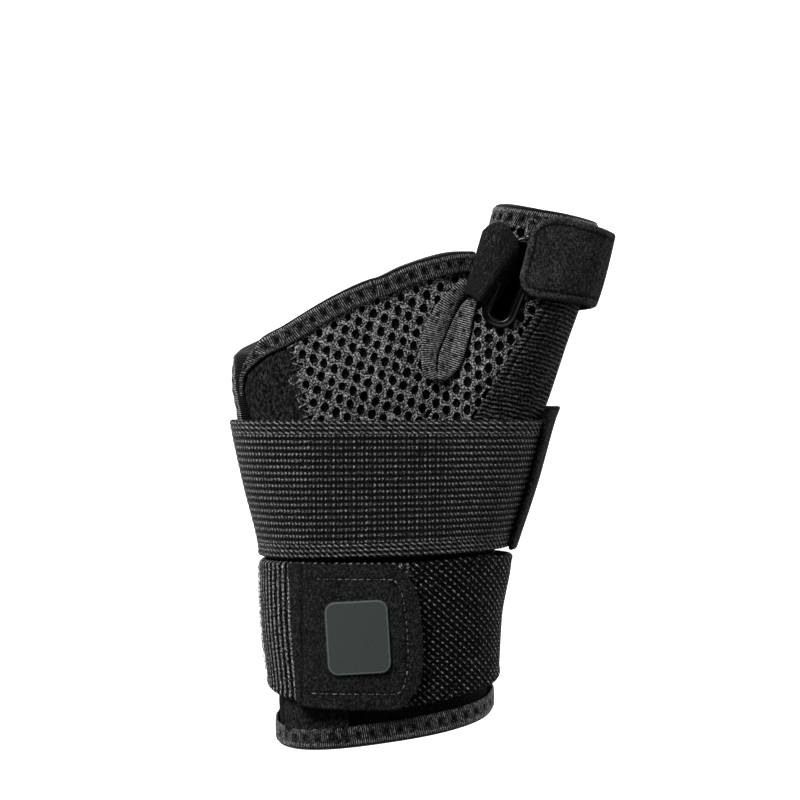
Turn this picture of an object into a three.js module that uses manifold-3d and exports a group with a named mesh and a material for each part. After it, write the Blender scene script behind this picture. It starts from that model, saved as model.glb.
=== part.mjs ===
// Thumb spica splint for a right hand, in the form that it has when worn. Millimetres, +Z to the fingers.
// The palm side faces -Y and the thumb side is +X. The origin is where the wrist goes in, at the lowest hem.
import * as THREE from "three";
import { mergeVertices } from "three/addons/utils/BufferGeometryUtils.js";
import Module from "manifold-3d";

const wasm = await Module();
wasm.setup();

// Hollow for the hand
const BODY_HEIGHT = 141;
const HAND_WIDTH = 68;
const HAND_DEPTH = 40;
const HAND_ROUNDNESS = 0.8;

// Hollow for the thumb
const THUMB_ROOT_X = 17;
const THUMB_ROOT_Z = 55;
const THUMB_RISE = 97;
const THUMB_SPREAD = 28.7;
const THUMB_FORWARD = 10;
const THUMB_WIDTH = 26;
const THUMB_DEPTH = 24;
const THUMB_ROUNDNESS = 0.93;
const WEB_HEIGHT = 124;
const RIM_TILT = 2.6;

// Cloth and tape thicknesses
const CLOTH = 1.6;
const SKIN = 0.9;
const TAPE = 0.9;
const TAPE_WIDTH = 6;
const STAY_SLEEVE_THICKNESS = 2;
const EYELET_THICKNESS = 2.5;
const CLEARANCE = 0.3;
const TAPE_EASE = 0.45;

// Hem and ulnar split
const HEM_SLOPE = 0.14;
const HEM_LEAN = 0.15;
const HEM_LEVEL = 6.1;
const SPLIT_PALM_TURN = -152;
const SPLIT_BACK_TURN = -157.5;
const SPLIT_BOTTOM = 80;

// Straps and tabs
const HAND_STRAP_THICKNESS = 1.6;
const HAND_STRAP_STANDOFF = 4.7;
const HAND_STRAP_TOP = 93.2;
const HAND_STRAP_BOTTOM = 56;
const HAND_TAB_THICKNESS = 1.5;
const HAND_TAB_OVERHANG = 4;
const HAND_TAB_START = -2;
const HAND_TAB_END = 10;
const WRIST_STRAP_THICKNESS = 2.2;
const WRIST_STRAP_TOP = 53.3;
const WRIST_STRAP_BOTTOM = 17.8;
const WRIST_STRAP_LEAN = 0.22;
const WRIST_TAB_THICKNESS = 2;
const WRIST_TAB_HEIGHT = 41.4;
const THUMB_STRAP_THICKNESS = 1.9;
const THUMB_STRAP_WIDTH = 23;
const LABEL_WIDTH = 17.8;
const LABEL_HEIGHT = 20.6;
const LABEL_THICKNESS = 0.6;
const LABEL_CENTRE = { across: -0.115, down: 0.52 };
const LABEL_CORNER = 2.5;
const LABEL_TILT = 3.5;

// Slot of the thumb strap
const SLOT_FOOT = { across: 0.526, up: 0.71 };
const SLOT_LENGTH = 17.8;
const SLOT_TILT = 21.6;
const SLOT_RADIUS = 2.4;
const EYELET_RADIUS = 5.1;

// Net of the palm and thumb fronts
const NET_COLUMN = 3;
const NET_PITCH = 4;
const NET_HOLE_WIDTH = 2;
const NET_HOLE_HEIGHT = 2.4;
const NET_MARGIN = 1.95;

// Layers, as distances out from the hollow
const SKIN_IN = CLOTH + CLEARANCE;
const SKIN_OUT = SKIN_IN + SKIN;
const TAPE_IN = SKIN_OUT + TAPE_EASE;
const TAPE_OUT = TAPE_IN + TAPE;
const LINING_IN = -TAPE_EASE - TAPE;
const STAY_OUT = SKIN_IN + STAY_SLEEVE_THICKNESS;
const EYELET_OUT = SKIN_IN + EYELET_THICKNESS;
const STRAP_LANE = TAPE_OUT + THUMB_STRAP_THICKNESS + CLEARANCE;

// Hollow of the hand: height in body heights, sides in hand widths, front and back in hand depths
const HAND_SECTIONS = [
  { at: -0.05, left: -0.4, right: 0.385, front: -0.4875, back: 0.4875 },
  { at: 0.113, left: -0.418, right: 0.397, front: -0.4875, back: 0.4875 },
  { at: 0.241, left: -0.447, right: 0.41, front: -0.495, back: 0.495 },
  { at: 0.355, left: -0.456, right: 0.429, front: -0.505, back: 0.5 },
  { at: 0.404, left: -0.45, right: 0.432, front: -0.505, back: 0.5 },
  { at: 0.532, left: -0.513, right: 0.429, front: -0.5, back: 0.5 },
  { at: 0.66, left: -0.572, right: 0.421, front: -0.4875, back: 0.4875 },
  { at: 0.752, left: -0.596, right: 0.412, front: -0.4625, back: 0.4625 },
  { at: 0.851, left: -0.553, right: 0.409, front: -0.4, back: 0.425 },
  { at: 0.936, left: -0.507, right: 0.401, front: -0.35, back: 0.3875 },
  { at: 1.06, left: -0.475, right: 0.384, front: -0.305, back: 0.36 },
];

// Hollow of the thumb: rise, spread and forward in shares of those sizes, halves in widths and depths
const THUMB_SECTIONS = [
  { at: 0, out: 0, forward: 0.2, halfWidth: 0.46, halfDepth: 0.58 },
  { at: 0.206, out: 0.195, forward: 0.4, halfWidth: 0.495, halfDepth: 0.6 },
  { at: 0.392, out: 0.352, forward: 0.55, halfWidth: 0.512, halfDepth: 0.6 },
  { at: 0.454, out: 0.408, forward: 0.6, halfWidth: 0.538, halfDepth: 0.583 },
  { at: 0.619, out: 0.613, forward: 0.78, halfWidth: 0.512, halfDepth: 0.53 },
  { at: 0.773, out: 0.808, forward: 0.9, halfWidth: 0.488, halfDepth: 0.479 },
  { at: 1, out: 1, forward: 1, halfWidth: 0.435, halfDepth: 0.417 },
  { at: 1.08, out: 1.06, forward: 1.02, halfWidth: 0.42, halfDepth: 0.405 },
];

// Upper edge of the palm panel from the little-finger corner to the thumb, heights in body heights
const PALM_EDGE = [
  { turn: -152, height: 0.71 },
  { turn: -151.5, height: 0.735 },
  { turn: -150, height: 0.765 },
  { turn: -141, height: 0.822 },
  { turn: -125.5, height: 0.855 },
  { turn: -107, height: 0.903 },
  { turn: -91.8, height: 0.941 },
  { turn: -78.9, height: 0.973 },
  { turn: -57.2, height: 0.997 },
  { turn: -36, height: 1.002 },
  { turn: -20, height: 1 },
];

// Edge of the back panel from the thumb side over the back and down the ulnar split
const BACK_EDGE = [
  { turn: 18, height: 0.955 },
  { turn: 40, height: 0.95 },
  { turn: 65, height: 0.93 },
  { turn: 90, height: 0.9 },
  { turn: 120, height: 0.862 },
  { turn: 150, height: 0.825 },
  { turn: 172, height: 0.806 },
  { turn: 188, height: 0.793 },
  { turn: 198, height: 0.766 },
  { turn: 201.5, height: 0.73 },
  { turn: 202.5, height: 0.69 },
  { turn: 202.5, height: 0.6 },
];

// Run of the thumb strap from the slot round the back to the tab, standoff in strap thicknesses,
// middle in thumb rises above the root, half in strap widths
const THUMB_STRAP_RUN = [
  { turn: -116, standoff: 2.5, middle: 0.82, half: 0.31 },
  { turn: -128, standoff: 2.5, middle: 0.845, half: 0.4 },
  { turn: -142, standoff: 2.45, middle: 0.862, half: 0.45 },
  { turn: -152, standoff: 2.45, middle: 0.862, half: 0.44 },
  { turn: -165, standoff: 2, middle: 0.86, half: 0.42 },
  { turn: -190, standoff: 1.75, middle: 0.857, half: 0.42 },
  { turn: -230, standoff: 1.25, middle: 0.85, half: 0.41 },
  { turn: -270, standoff: 1.1, middle: 0.83, half: 0.42 },
  { turn: -315, standoff: 1.7, middle: 0.812, half: 0.41 },
  { turn: -330, standoff: 2.5, middle: 0.818, half: 0.42 },
  { turn: -345, standoff: 3.1, middle: 0.825, half: 0.44 },
  { turn: -365, standoff: 3.7, middle: 0.83, half: 0.45 },
  { turn: -382, standoff: 4, middle: 0.832, half: 0.455 },
  { turn: -395, standoff: 3.9, middle: 0.838, half: 0.46 },
  { turn: -415, standoff: 3.2, middle: 0.85, half: 0.485 },
  { turn: -436, standoff: 2.6, middle: 0.862, half: 0.5 },
  { turn: -450, standoff: 2.5, middle: 0.866, half: 0.47 },
  { turn: -457, standoff: 2.5, middle: 0.868, half: 0.36 },
  { turn: -461, standoff: 2.5, middle: 0.868, half: 0.2 },
];

// Outlines seen from the front, each row one corner: across in hand widths and up in body heights
const FOLD_LINE = [
  { across: 0.213, up: 0.596 },
  { across: 0.213, up: 0.741 },
  { across: 0.235, up: 0.806 },
  { across: 0.291, up: 0.871 },
  { across: 0.359, up: 0.918 },
  { across: 0.404, up: 0.95 },
];
const PATCH_BORDER = [
  { across: -0.397, up: 0.858 },
  { across: -0.397, up: 0.816 },
  { across: -0.359, up: 0.741 },
  { across: -0.326, up: 0.671 },
  { across: -0.147, up: 0.05 },
  { across: -0.132, up: -0.028 },
];
const PALM_RIBBON = [
  { across: 0.207, up: 0.742 },
  { across: 0.185, up: 0.75 },
  { across: 0.146, up: 0.79 },
  { across: 0.151, up: 0.822 },
  { across: 0.201, up: 0.876 },
  { across: 0.279, up: 0.925 },
  { across: 0.347, up: 0.946 },
  { across: 0.382, up: 0.948 },
  { across: 0.356, up: 0.918 },
  { across: 0.288, up: 0.874 },
  { across: 0.231, up: 0.808 },
];
const THUMB_RIBBON = [
  { across: 0.219, up: 0.742 },
  { across: 0.257, up: 0.752 },
  { across: 0.313, up: 0.801 },
  { across: 0.359, up: 0.865 },
  { across: 0.376, up: 0.912 },
  { across: 0.362, up: 0.911 },
  { across: 0.296, up: 0.868 },
  { across: 0.24, up: 0.804 },
];

// Border of the stay sleeve seen from the front: across in thumb spreads and up in rises, from the root
const STAY_BORDER = [
  { across: 0.07, up: 0.299 },
  { across: 0.258, up: 0.4 },
  { across: 0.575, up: 0.565 },
  { across: 0.92, up: 0.731 },
  { across: 1.115, up: 0.845 },
  { across: 1.202, up: 1.082 },
];

// How finely the round shapes are divided
const HAND_SIDES = 28;
const THUMB_SIDES = 20;
const STRAP_SIDES = 36;
const LOFT_STEP = 18;

const FAR = 400;
const SKETCH_TOP = BODY_HEIGHT + 2 * TAPE_WIDTH;
const MATERIALS = {
  liner: { color: 0x1c1c1e, roughness: 0.95 },
  velour: { color: 0x2b2b2c, roughness: 1 },
  net: { color: 0x4c4c4e, roughness: 0.9 },
  tape: { color: 0x474748, roughness: 0.7 },
  ribbed: { color: 0x242425, roughness: 0.9 },
  elastic: { color: 0x222223, roughness: 0.8 },
  knit: { color: 0x2a2a2b, roughness: 0.9 },
  felt: { color: 0x303031, roughness: 1 },
  plastic: { color: 0x0c0c0d, roughness: 0.2 },
  label: { color: 0x3b4543, roughness: 0.7 },
};

const radians = THREE.MathUtils.degToRad;

// Places seen from the front, from shares of the hand's and the thumb's sizes
const onHand = ({ across, up }) => ({ x: HAND_WIDTH * across, z: BODY_HEIGHT * up });
const onThumb = ({ across, up }) => ({
  x: THUMB_ROOT_X + THUMB_SPREAD * across,
  z: THUMB_ROOT_Z + THUMB_RISE * up,
});

// Smooth value of a table's column between its rows, which stand at the values of the key column
function smoothColumn(table, key, column, value) {
  const last = table.length - 1;
  const rising = table[last][key] > table[0][key];
  const reached = (row) => (rising ? row[key] <= value : row[key] >= value);
  let i = 0;
  while (i < last - 1 && reached(table[i + 1])) i += 1;
  const slope = (k) => {
    const [a, b] = [table[Math.max(k - 1, 0)], table[Math.min(k + 1, last)]];
    return (b[column] - a[column]) / (b[key] - a[key]);
  };
  const [low, high] = [table[i], table[i + 1]];
  const span = high[key] - low[key];
  const t = THREE.MathUtils.clamp((value - low[key]) / span, 0, 1);
  const pull = t * t * (3 - 2 * t);
  return low[column] * (1 - pull) + high[column] * pull
    + slope(i) * span * t * (1 - t) ** 2 - slope(i + 1) * span * t * t * (1 - t);
}

// Point of a rounded section round a centre
function roundedPoint(cx, cy, halfX, halfY, turn, z, roundness) {
  const [c, s] = [Math.cos(radians(turn)), Math.sin(radians(turn))];
  const x = cx + halfX * Math.sign(c) * Math.abs(c) ** roundness;
  const y = cy + halfY * Math.sign(s) * Math.abs(s) ** roundness;
  return new THREE.Vector3(x, y, z);
}

// Surface of the hand's hollow, moved out by a distance
function handHollow(turn, z, out) {
  const at = z / BODY_HEIGHT;
  const left = HAND_WIDTH * smoothColumn(HAND_SECTIONS, "at", "left", at) - out;
  const right = HAND_WIDTH * smoothColumn(HAND_SECTIONS, "at", "right", at) + out;
  const front = HAND_DEPTH * smoothColumn(HAND_SECTIONS, "at", "front", at) - out;
  const back = HAND_DEPTH * smoothColumn(HAND_SECTIONS, "at", "back", at) + out;
  const [cx, cy] = [(left + right) / 2, (front + back) / 2];
  return roundedPoint(cx, cy, (right - left) / 2, (back - front) / 2, turn, z, HAND_ROUNDNESS);
}

// Surface of the thumb's hollow, moved out by a distance
function thumbHollow(turn, z, out) {
  const at = (z - THUMB_ROOT_Z) / THUMB_RISE;
  const cx = THUMB_ROOT_X + THUMB_SPREAD * smoothColumn(THUMB_SECTIONS, "at", "out", at);
  const cy = -THUMB_FORWARD * smoothColumn(THUMB_SECTIONS, "at", "forward", at);
  const halfX = THUMB_WIDTH * smoothColumn(THUMB_SECTIONS, "at", "halfWidth", at) + out;
  const halfY = THUMB_DEPTH * smoothColumn(THUMB_SECTIONS, "at", "halfDepth", at) + out;
  return roundedPoint(cx, cy, halfX, halfY, turn, z, THUMB_ROUNDNESS);
}

// The same surface in flat facets between two heights, so that what lies on it fits the cloth
function faceted(smooth, sides, low, high) {
  const levels = Math.ceil((high - low) / LOFT_STEP);
  const [turnStep, levelStep] = [360 / sides, (high - low) / levels];
  return (turn, z, out) => {
    const i = Math.floor(turn / turnStep);
    const j = THREE.MathUtils.clamp(Math.floor((z - low) / levelStep), 0, levels - 1);
    const [u, v] = [turn / turnStep - i, (z - low) / levelStep - j];
    const corner = (di, dj) => smooth((i + di) * turnStep, low + (j + dj) * levelStep, out);
    return corner(0, 0).lerp(corner(1, 0), u).lerp(corner(0, 1).lerp(corner(1, 1), u), v);
  };
}

const BOTTOM = BODY_HEIGHT * HAND_SECTIONS[0].at;
const TOP = BODY_HEIGHT * HAND_SECTIONS.at(-1).at;
const THUMB_TOP = THUMB_ROOT_Z + THUMB_RISE * THUMB_SECTIONS.at(-1).at;
const handSurface = faceted(handHollow, HAND_SIDES, BOTTOM, TOP);
const thumbSurface = faceted(thumbHollow, THUMB_SIDES, THUMB_ROOT_Z, THUMB_TOP);

function evenTurns(count, from = 0, to = 360) {
  const steps = to - from === 360 ? count : count - 1;
  return Array.from({ length: count }, (_, i) => from + (i * (to - from)) / steps);
}

// Convex outline, as a list of points in order
function convexOutline(points) {
  const sorted = [...points].sort((a, b) => a.x - b.x || a.y - b.y);
  const side = (o, a, b) => (a.x - o.x) * (b.y - o.y) - (a.y - o.y) * (b.x - o.x);
  const half = (list) => {
    const chain = [];
    for (const p of list) {
      while (chain.length > 1 && side(chain.at(-2), chain.at(-1), p) <= 0) chain.pop();
      chain.push(p);
    }
    chain.pop();
    return chain;
  };
  return [...half(sorted), ...half(sorted.reverse())];
}

// Surface of a strap pulled tight round the hand and the root of the thumb, turns seen from the origin's axis
function strapHull(turn, z, out) {
  const points = evenTurns(HAND_SIDES * 2).map((t) => handSurface(t, z, out));
  if (z > THUMB_ROOT_Z) points.push(...evenTurns(THUMB_SIDES * 2).map((t) => thumbSurface(t, z, out)));
  const outline = convexOutline(points);
  const [dx, dy] = [Math.cos(radians(turn)), Math.sin(radians(turn))];
  let reach = 0;
  outline.forEach((a, i) => {
    const b = outline[(i + 1) % outline.length];
    const [ex, ey] = [b.x - a.x, b.y - a.y];
    const cross = dx * ey - dy * ex;
    const along = (a.x * ey - a.y * ex) / cross;
    const share = (a.x * dy - a.y * dx) / cross;
    if (along > 0 && share >= -1e-9 && share <= 1 + 1e-9) reach = Math.max(reach, along);
  });
  return new THREE.Vector3(dx * reach, dy * reach, z);
}

const strapSurface = faceted(strapHull, STRAP_SIDES, BOTTOM, TOP);

// Geometry of a closed body from points and faces, turned so that its faces point out
function closedGeometry(points, faces) {
  let volume = 0;
  for (const [a, b, c] of faces) volume += points[a].dot(points[b].clone().cross(points[c]));
  const geometry = new THREE.BufferGeometry();
  geometry.setAttribute("position", new THREE.Float32BufferAttribute(points.flatMap((p) => p.toArray()), 3));
  geometry.setIndex(faces.flatMap(([a, b, c]) => (volume > 0 ? [a, b, c] : [a, c, b])));
  return geometry;
}

function quad(faces, a, b, c, d) {
  faces.push([a, b, c], [a, c, d]);
}

// Levels of the hand's loft that lie well between two heights
function loftLevels(low, high) {
  const count = Math.ceil((TOP - BOTTOM) / LOFT_STEP) + 1;
  return evenTurns(count, BOTTOM, TOP).filter((z) => z > low + 3 && z < high - 3);
}

// Closed strip that follows its sections, each with as many outer points as inner ones
function stripGeometry(sections, closed = false) {
  const rows = sections[0].outer.length;
  const points = sections.flatMap(({ outer, inner }) => [...outer, ...inner]);
  const [outerAt, innerAt] = [(i, j) => i * 2 * rows + j, (i, j) => i * 2 * rows + rows + j];
  const faces = [];
  const steps = closed ? sections.length : sections.length - 1;
  for (let i = 0; i < steps; i += 1) {
    const n = (i + 1) % sections.length;
    for (let j = 0; j < rows - 1; j += 1) {
      quad(faces, outerAt(i, j), outerAt(n, j), outerAt(n, j + 1), outerAt(i, j + 1));
      quad(faces, innerAt(i, j), innerAt(i, j + 1), innerAt(n, j + 1), innerAt(n, j));
    }
    quad(faces, outerAt(i, 0), innerAt(i, 0), innerAt(n, 0), outerAt(n, 0));
    quad(faces, outerAt(i, rows - 1), outerAt(n, rows - 1), innerAt(n, rows - 1), innerAt(i, rows - 1));
  }
  const last = sections.length - 1;
  for (let j = 0; j < rows - 1 && !closed; j += 1) {
    quad(faces, outerAt(0, j), outerAt(0, j + 1), innerAt(0, j + 1), innerAt(0, j));
    quad(faces, outerAt(last, j), innerAt(last, j), innerAt(last, j + 1), outerAt(last, j + 1));
  }
  return closedGeometry(points, faces);
}

// Strap or tab that lies round a surface: low and high edges, standoff and thickness for each turn
function bandGeometry({ surface, turns, low, high, standoff, thickness, ...more }) {
  const { rows = 2, levels = [], closed = false } = more;
  const sections = turns.map((turn) => {
    const [bottom, top] = [low(turn), high(turn)];
    const heights = levels.length > 0 ? [bottom, ...levels, top] : evenTurns(rows, bottom, top);
    return {
      outer: heights.map((z) => surface(turn, z, standoff(turn) + thickness)),
      inner: heights.map((z) => surface(turn, z, standoff(turn))),
    };
  });
  return stripGeometry(sections, closed);
}

// For each point of an edge on a surface, the place at a depth into the cloth and a distance out
function edgePlaces({ surface, edge, side, closed = false }) {
  const count = edge.length;
  const neighbour = (i) => edge[closed ? (i + count) % count : THREE.MathUtils.clamp(i, 0, count - 1)];
  return edge.map((here, i) => {
    const [before, after] = [neighbour(i - 1), neighbour(i + 1)];
    const arc = surface(here.turn + 0.5, here.z, 0).distanceTo(surface(here.turn - 0.5, here.z, 0));
    const sweep = ((after.turn - before.turn + 540) % 360) - 180;
    const [across, up] = [sweep * arc, after.z - before.z];
    const length = Math.hypot(across, up);
    return (depth, out) => surface(
      here.turn - (side * depth * up) / length / arc,
      here.z + (side * depth * across) / length,
      out,
    );
  });
}

// Tape folded over an edge, with the cloth on the given side of the edge's run
function tapeGeometry(run) {
  const sections = edgePlaces(run).map((at) => ({
    outer: [at(TAPE_WIDTH, TAPE_OUT), at(0, TAPE_OUT), at(0, LINING_IN), at(TAPE_WIDTH, LINING_IN)],
    inner: [at(TAPE_WIDTH, TAPE_IN), at(TAPE, TAPE_IN), at(TAPE, -TAPE_EASE), at(TAPE_WIDTH, -TAPE_EASE)],
  }));
  return stripGeometry(sections, run.closed);
}

// Space that the fold of a tape takes at the very edge, for cutting the cloth back
function foldSpace(run) {
  const [deep, past] = [TAPE + TAPE_EASE, -TAPE_WIDTH / 2];
  const sections = edgePlaces(run).map((at) => ({
    outer: [at(deep, TAPE_OUT), at(past, TAPE_OUT)],
    inner: [at(deep, LINING_IN), at(past, LINING_IN)],
  }));
  return solid(stripGeometry(sections, run.closed));
}

// Closed form of a surface between two heights, moved out by a distance
function loftGeometry(surface, sides, low, high, out) {
  const levels = evenTurns(Math.ceil((high - low) / LOFT_STEP) + 1, low, high);
  const rings = levels.map((z) => evenTurns(sides).map((turn) => surface(turn, z, out)));
  return stackGeometry(rings);
}

// Closed form of rings laid on each other, with a point in the middle of each end
function stackGeometry(rings) {
  const sides = rings[0].length;
  const middle = (ring) => ring.reduce((sum, p) => sum.add(p), new THREE.Vector3()).divideScalar(sides);
  const points = [...rings.flat(), middle(rings[0]), middle(rings.at(-1))];
  const [foot, head] = [points.length - 2, points.length - 1];
  const faces = [];
  for (let j = 0; j < sides; j += 1) {
    const n = (j + 1) % sides;
    for (let i = 0; i < rings.length - 1; i += 1) {
      quad(faces, i * sides + j, i * sides + n, (i + 1) * sides + n, (i + 1) * sides + j);
    }
    faces.push([foot, n, j], [head, (rings.length - 1) * sides + j, (rings.length - 1) * sides + n]);
  }
  return closedGeometry(points, faces);
}

// Solid for cutting and joining, from a closed geometry
function solid(geometry) {
  const bare = geometry.clone();
  bare.deleteAttribute("normal");
  bare.deleteAttribute("uv");
  const merged = mergeVertices(bare, 1e-5);
  return new wasm.Manifold(new wasm.Mesh({
    numProp: 3,
    vertProperties: new Float32Array(merged.attributes.position.array),
    triVerts: new Uint32Array(merged.index.array),
  }));
}

function geometryOf(body) {
  const mesh = body.getMesh();
  const geometry = new THREE.BufferGeometry();
  geometry.setAttribute("position", new THREE.BufferAttribute(new Float32Array(mesh.vertProperties), 3));
  geometry.setIndex(new THREE.BufferAttribute(new Uint32Array(mesh.triVerts), 1));
  return geometry;
}

// Prism of an outline seen from the front, between two depths
function frontPrism(outline, near = -FAR, far = 0) {
  const shape = new THREE.Shape(outline.map(({ x, z }) => new THREE.Vector2(x, z)));
  return shapePrism(shape, near, far);
}

function shapePrism(shape, near, far) {
  const sizes = { depth: far - near, bevelEnabled: false, curveSegments: 6 };
  const geometry = new THREE.ExtrudeGeometry(shape, sizes);
  return solid(geometry.rotateX(Math.PI / 2).translate(0, far, 0));
}

// Block that holds everything above or below a height
function slab(low, high) {
  return solid(new THREE.BoxGeometry(FAR, FAR, high - low).translate(0, 0, (low + high) / 2));
}

// Space beyond an edge of a surface, up or down to a limit, level where it crosses the cloth
function spaceBeyond(surface, sides, edgeHeight, limit, reach = 14) {
  const turns = evenTurns(sides);
  const ring = (out, height) => turns.map((turn) => surface(turn, edgeHeight(turn), out).setZ(height(turn)));
  const end = () => limit;
  return solid(stackGeometry([ring(reach, end), ring(reach, edgeHeight), ring(-reach / 2, edgeHeight)]));
}

function hemHeight(turn) {
  const foot = handSurface(turn, 0, TAPE_OUT);
  return HEM_LEVEL + HEM_SLOPE * foot.x + HEM_LEAN * foot.y;
}

const rimHeight = (turn) => THUMB_ROOT_Z + THUMB_RISE - RIM_TILT * Math.cos(radians(turn));

// Height of the body's upper edge at a turn, on the palm panel or the back panel
function bodyEdge(turn) {
  const wrapped = ((turn % 360) + 360) % 360;
  const palm = wrapped > 180 && wrapped >= 360 + SPLIT_BACK_TURN;
  const table = palm ? PALM_EDGE : BACK_EDGE.slice(0, -3);
  return BODY_HEIGHT * smoothColumn(table, "turn", "height", palm ? wrapped - 360 : wrapped);
}

// Points of an edge table, spaced evenly in its rows
function edgeRun(table, stepsPerRow) {
  const rows = table.map((row, i) => ({ ...row, i }));
  const count = (rows.length - 1) * stepsPerRow + 1;
  return evenTurns(count, 0, rows.length - 1).map((i) => ({
    turn: smoothColumn(rows, "i", "turn", i),
    z: BODY_HEIGHT * smoothColumn(rows, "i", "height", i),
  }));
}

const handForm = (out) => solid(loftGeometry(handSurface, HAND_SIDES, BOTTOM, TOP, out));
const thumbForm = (out) => solid(loftGeometry(thumbSurface, THUMB_SIDES, THUMB_ROOT_Z, THUMB_TOP, out));
const aboveWeb = slab(WEB_HEIGHT, FAR);
const strapLane = thumbForm(STRAP_LANE).intersect(aboveWeb);
const palmRun = { surface: handSurface, edge: edgeRun(PALM_EDGE, 2), side: -1 };
const backRun = { surface: handSurface, edge: edgeRun(BACK_EDGE, 2), side: -1 };
const folds = foldSpace(palmRun).add(foldSpace(backRun));
const FOLD = TAPE + TAPE_EASE;
const aboveHand = spaceBeyond(handSurface, HAND_SIDES, (turn) => bodyEdge(turn) - FOLD, FAR);
const belowHem = spaceBeyond(handSurface, HAND_SIDES, (turn) => hemHeight(turn) + FOLD, -FAR);
const aboveRim = spaceBeyond(thumbSurface, THUMB_SIDES, (turn) => rimHeight(turn) - FOLD, FAR, 8);
const rimTapeFoot = (turn) => rimHeight(turn) - TAPE_WIDTH - CLEARANCE;
const aboveRimTape = spaceBeyond(thumbSurface, THUMB_SIDES, rimTapeFoot, FAR, 8);

const slotFoot = onThumb(SLOT_FOOT);

// Slot through the thumb front, in the outline of its eyelet or its opening
function slotShape(radius) {
  const tilt = radians(SLOT_TILT);
  const foot = new THREE.Vector2(slotFoot.x, slotFoot.z);
  const along = new THREE.Vector2(Math.sin(tilt), Math.cos(tilt));
  const head = along.multiplyScalar(SLOT_LENGTH).add(foot);
  const shape = new THREE.Shape();
  shape.absarc(foot.x, foot.y, radius, Math.PI - tilt, 2 * Math.PI - tilt, false);
  shape.absarc(head.x, head.y, radius, -tilt, Math.PI - tilt, false);
  return shape;
}

// Layer between two distances out from the whole hollow, with the thumb free of the hand above the web
function layer(inner, outer) {
  const hand = handForm(outer).subtract(handForm(inner)).subtract(aboveHand).subtract(folds)
    .subtract(strapLane);
  const thumb = thumbForm(outer).subtract(thumbForm(inner)).subtract(aboveRim);
  const rootThumb = thumb.subtract(aboveWeb).subtract(handForm(inner));
  return hand.subtract(thumbForm(inner)).add(rootThumb).add(thumb.intersect(aboveWeb)).subtract(belowHem);
}

// Cloth body with its ulnar split and the slot's opening
function linerShell() {
  const split = solid(bandGeometry({
    surface: handSurface,
    turns: evenTurns(3, SPLIT_BACK_TURN, SPLIT_PALM_TURN),
    low: () => SPLIT_BOTTOM,
    high: () => BODY_HEIGHT,
    standoff: () => -CLOTH * 2,
    thickness: CLOTH * 6,
    rows: 6,
  }));
  return layer(0, CLOTH).subtract(split).subtract(shapePrism(slotShape(SLOT_RADIUS), -FAR, -THUMB_FORWARD));
}

// Places of a border moved sideways, to leave a gap beside it
const shifted = (border, dx) => border.map(({ x, z }) => ({ x: x + dx, z }));

const foldLine = FOLD_LINE.map(onHand);
const patchBorder = PATCH_BORDER.map(onHand);
const palmRibbon = PALM_RIBBON.map(onHand);
const thumbRibbon = THUMB_RIBBON.map(onHand);
const stayBorder = STAY_BORDER.map(onThumb);

function palmLoopPatch() {
  const [head, foot] = [patchBorder[0].z, patchBorder.at(-1).z];
  const outline = [...shifted(patchBorder, -CLEARANCE), { x: -FAR, z: foot }, { x: -FAR, z: head }];
  const split = solid(bandGeometry({
    surface: handSurface,
    turns: evenTurns(4, -200, SPLIT_PALM_TURN + 0.5),
    low: () => SPLIT_BOTTOM - 50,
    high: () => BODY_HEIGHT,
    standoff: () => 0,
    thickness: CLOTH * 6,
    rows: 6,
  }));
  return layer(SKIN_IN, SKIN_OUT).intersect(frontPrism(outline, -FAR, -6)).subtract(split);
}

function insideOutline(outline, x, z) {
  let inside = false;
  outline.forEach((a, i) => {
    const b = outline[(i + 1) % outline.length];
    if (a.z > z !== b.z > z && x < ((b.x - a.x) * (z - a.z)) / (b.z - a.z) + a.x) inside = !inside;
  });
  return inside;
}

// Six-sided prisms at the net's holes, on a staggered grid, wherever a margin round each is clear
function netHoles(clear, from, to) {
  const holes = [];
  const columns = Math.ceil((to.x - from.x) / NET_COLUMN);
  const rows = Math.ceil((to.z - from.z) / NET_PITCH);
  for (let i = 0; i <= columns; i += 1) {
    for (let j = 0; j <= rows; j += 1) {
      const x = from.x + i * NET_COLUMN;
      const z = from.z + (j + (i % 2) / 2) * NET_PITCH;
      const around = evenTurns(8).map((t) => [Math.cos(radians(t)), Math.sin(radians(t))]);
      if (!around.every(([c, s]) => clear(x + c * NET_MARGIN, z + s * NET_MARGIN))) continue;
      const corners = evenTurns(6, 30, 390).map((t) => ({
        x: x + (NET_HOLE_WIDTH / 2) * Math.cos(radians(t)),
        z: z + (NET_HOLE_HEIGHT / 2) * Math.sin(radians(t)),
      }));
      holes.push(frontPrism(corners));
    }
  }
  return holes;
}

const palmNetOutline = [
  ...shifted(foldLine, -CLEARANCE / 2),
  { x: foldLine.at(-1).x, z: SKETCH_TOP },
  { x: patchBorder[1].x, z: SKETCH_TOP },
  ...patchBorder.slice(1, 4),
  onHand({ across: -0.306, up: 0.596 }),
];
const thumbNetOutline = [
  ...shifted(foldLine, CLEARANCE / 2).slice(0, 5),
  onHand({ across: 0.382, up: 0.97 }),
  { x: HAND_WIDTH * 0.382, z: stayBorder.at(-1).z },
  ...shifted(stayBorder, -CLEARANCE * 1.3).reverse(),
];

// Highest z of the palm's front edge tape at a place across, found by walking along the edge
function palmTapeFoot(x) {
  const run = edgeRun(PALM_EDGE, 4).map(({ turn, z }) => ({ x: handSurface(turn, z, TAPE_OUT).x, z }));
  const after = run.findIndex((p) => p.x > x);
  if (after < 1) return after === 0 ? 0 : BODY_HEIGHT - TAPE_WIDTH;
  const [a, b] = [run[after - 1], run[after]];
  return a.z + ((b.z - a.z) * (x - a.x)) / (b.x - a.x) - TAPE_WIDTH * 1.15;
}

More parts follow.
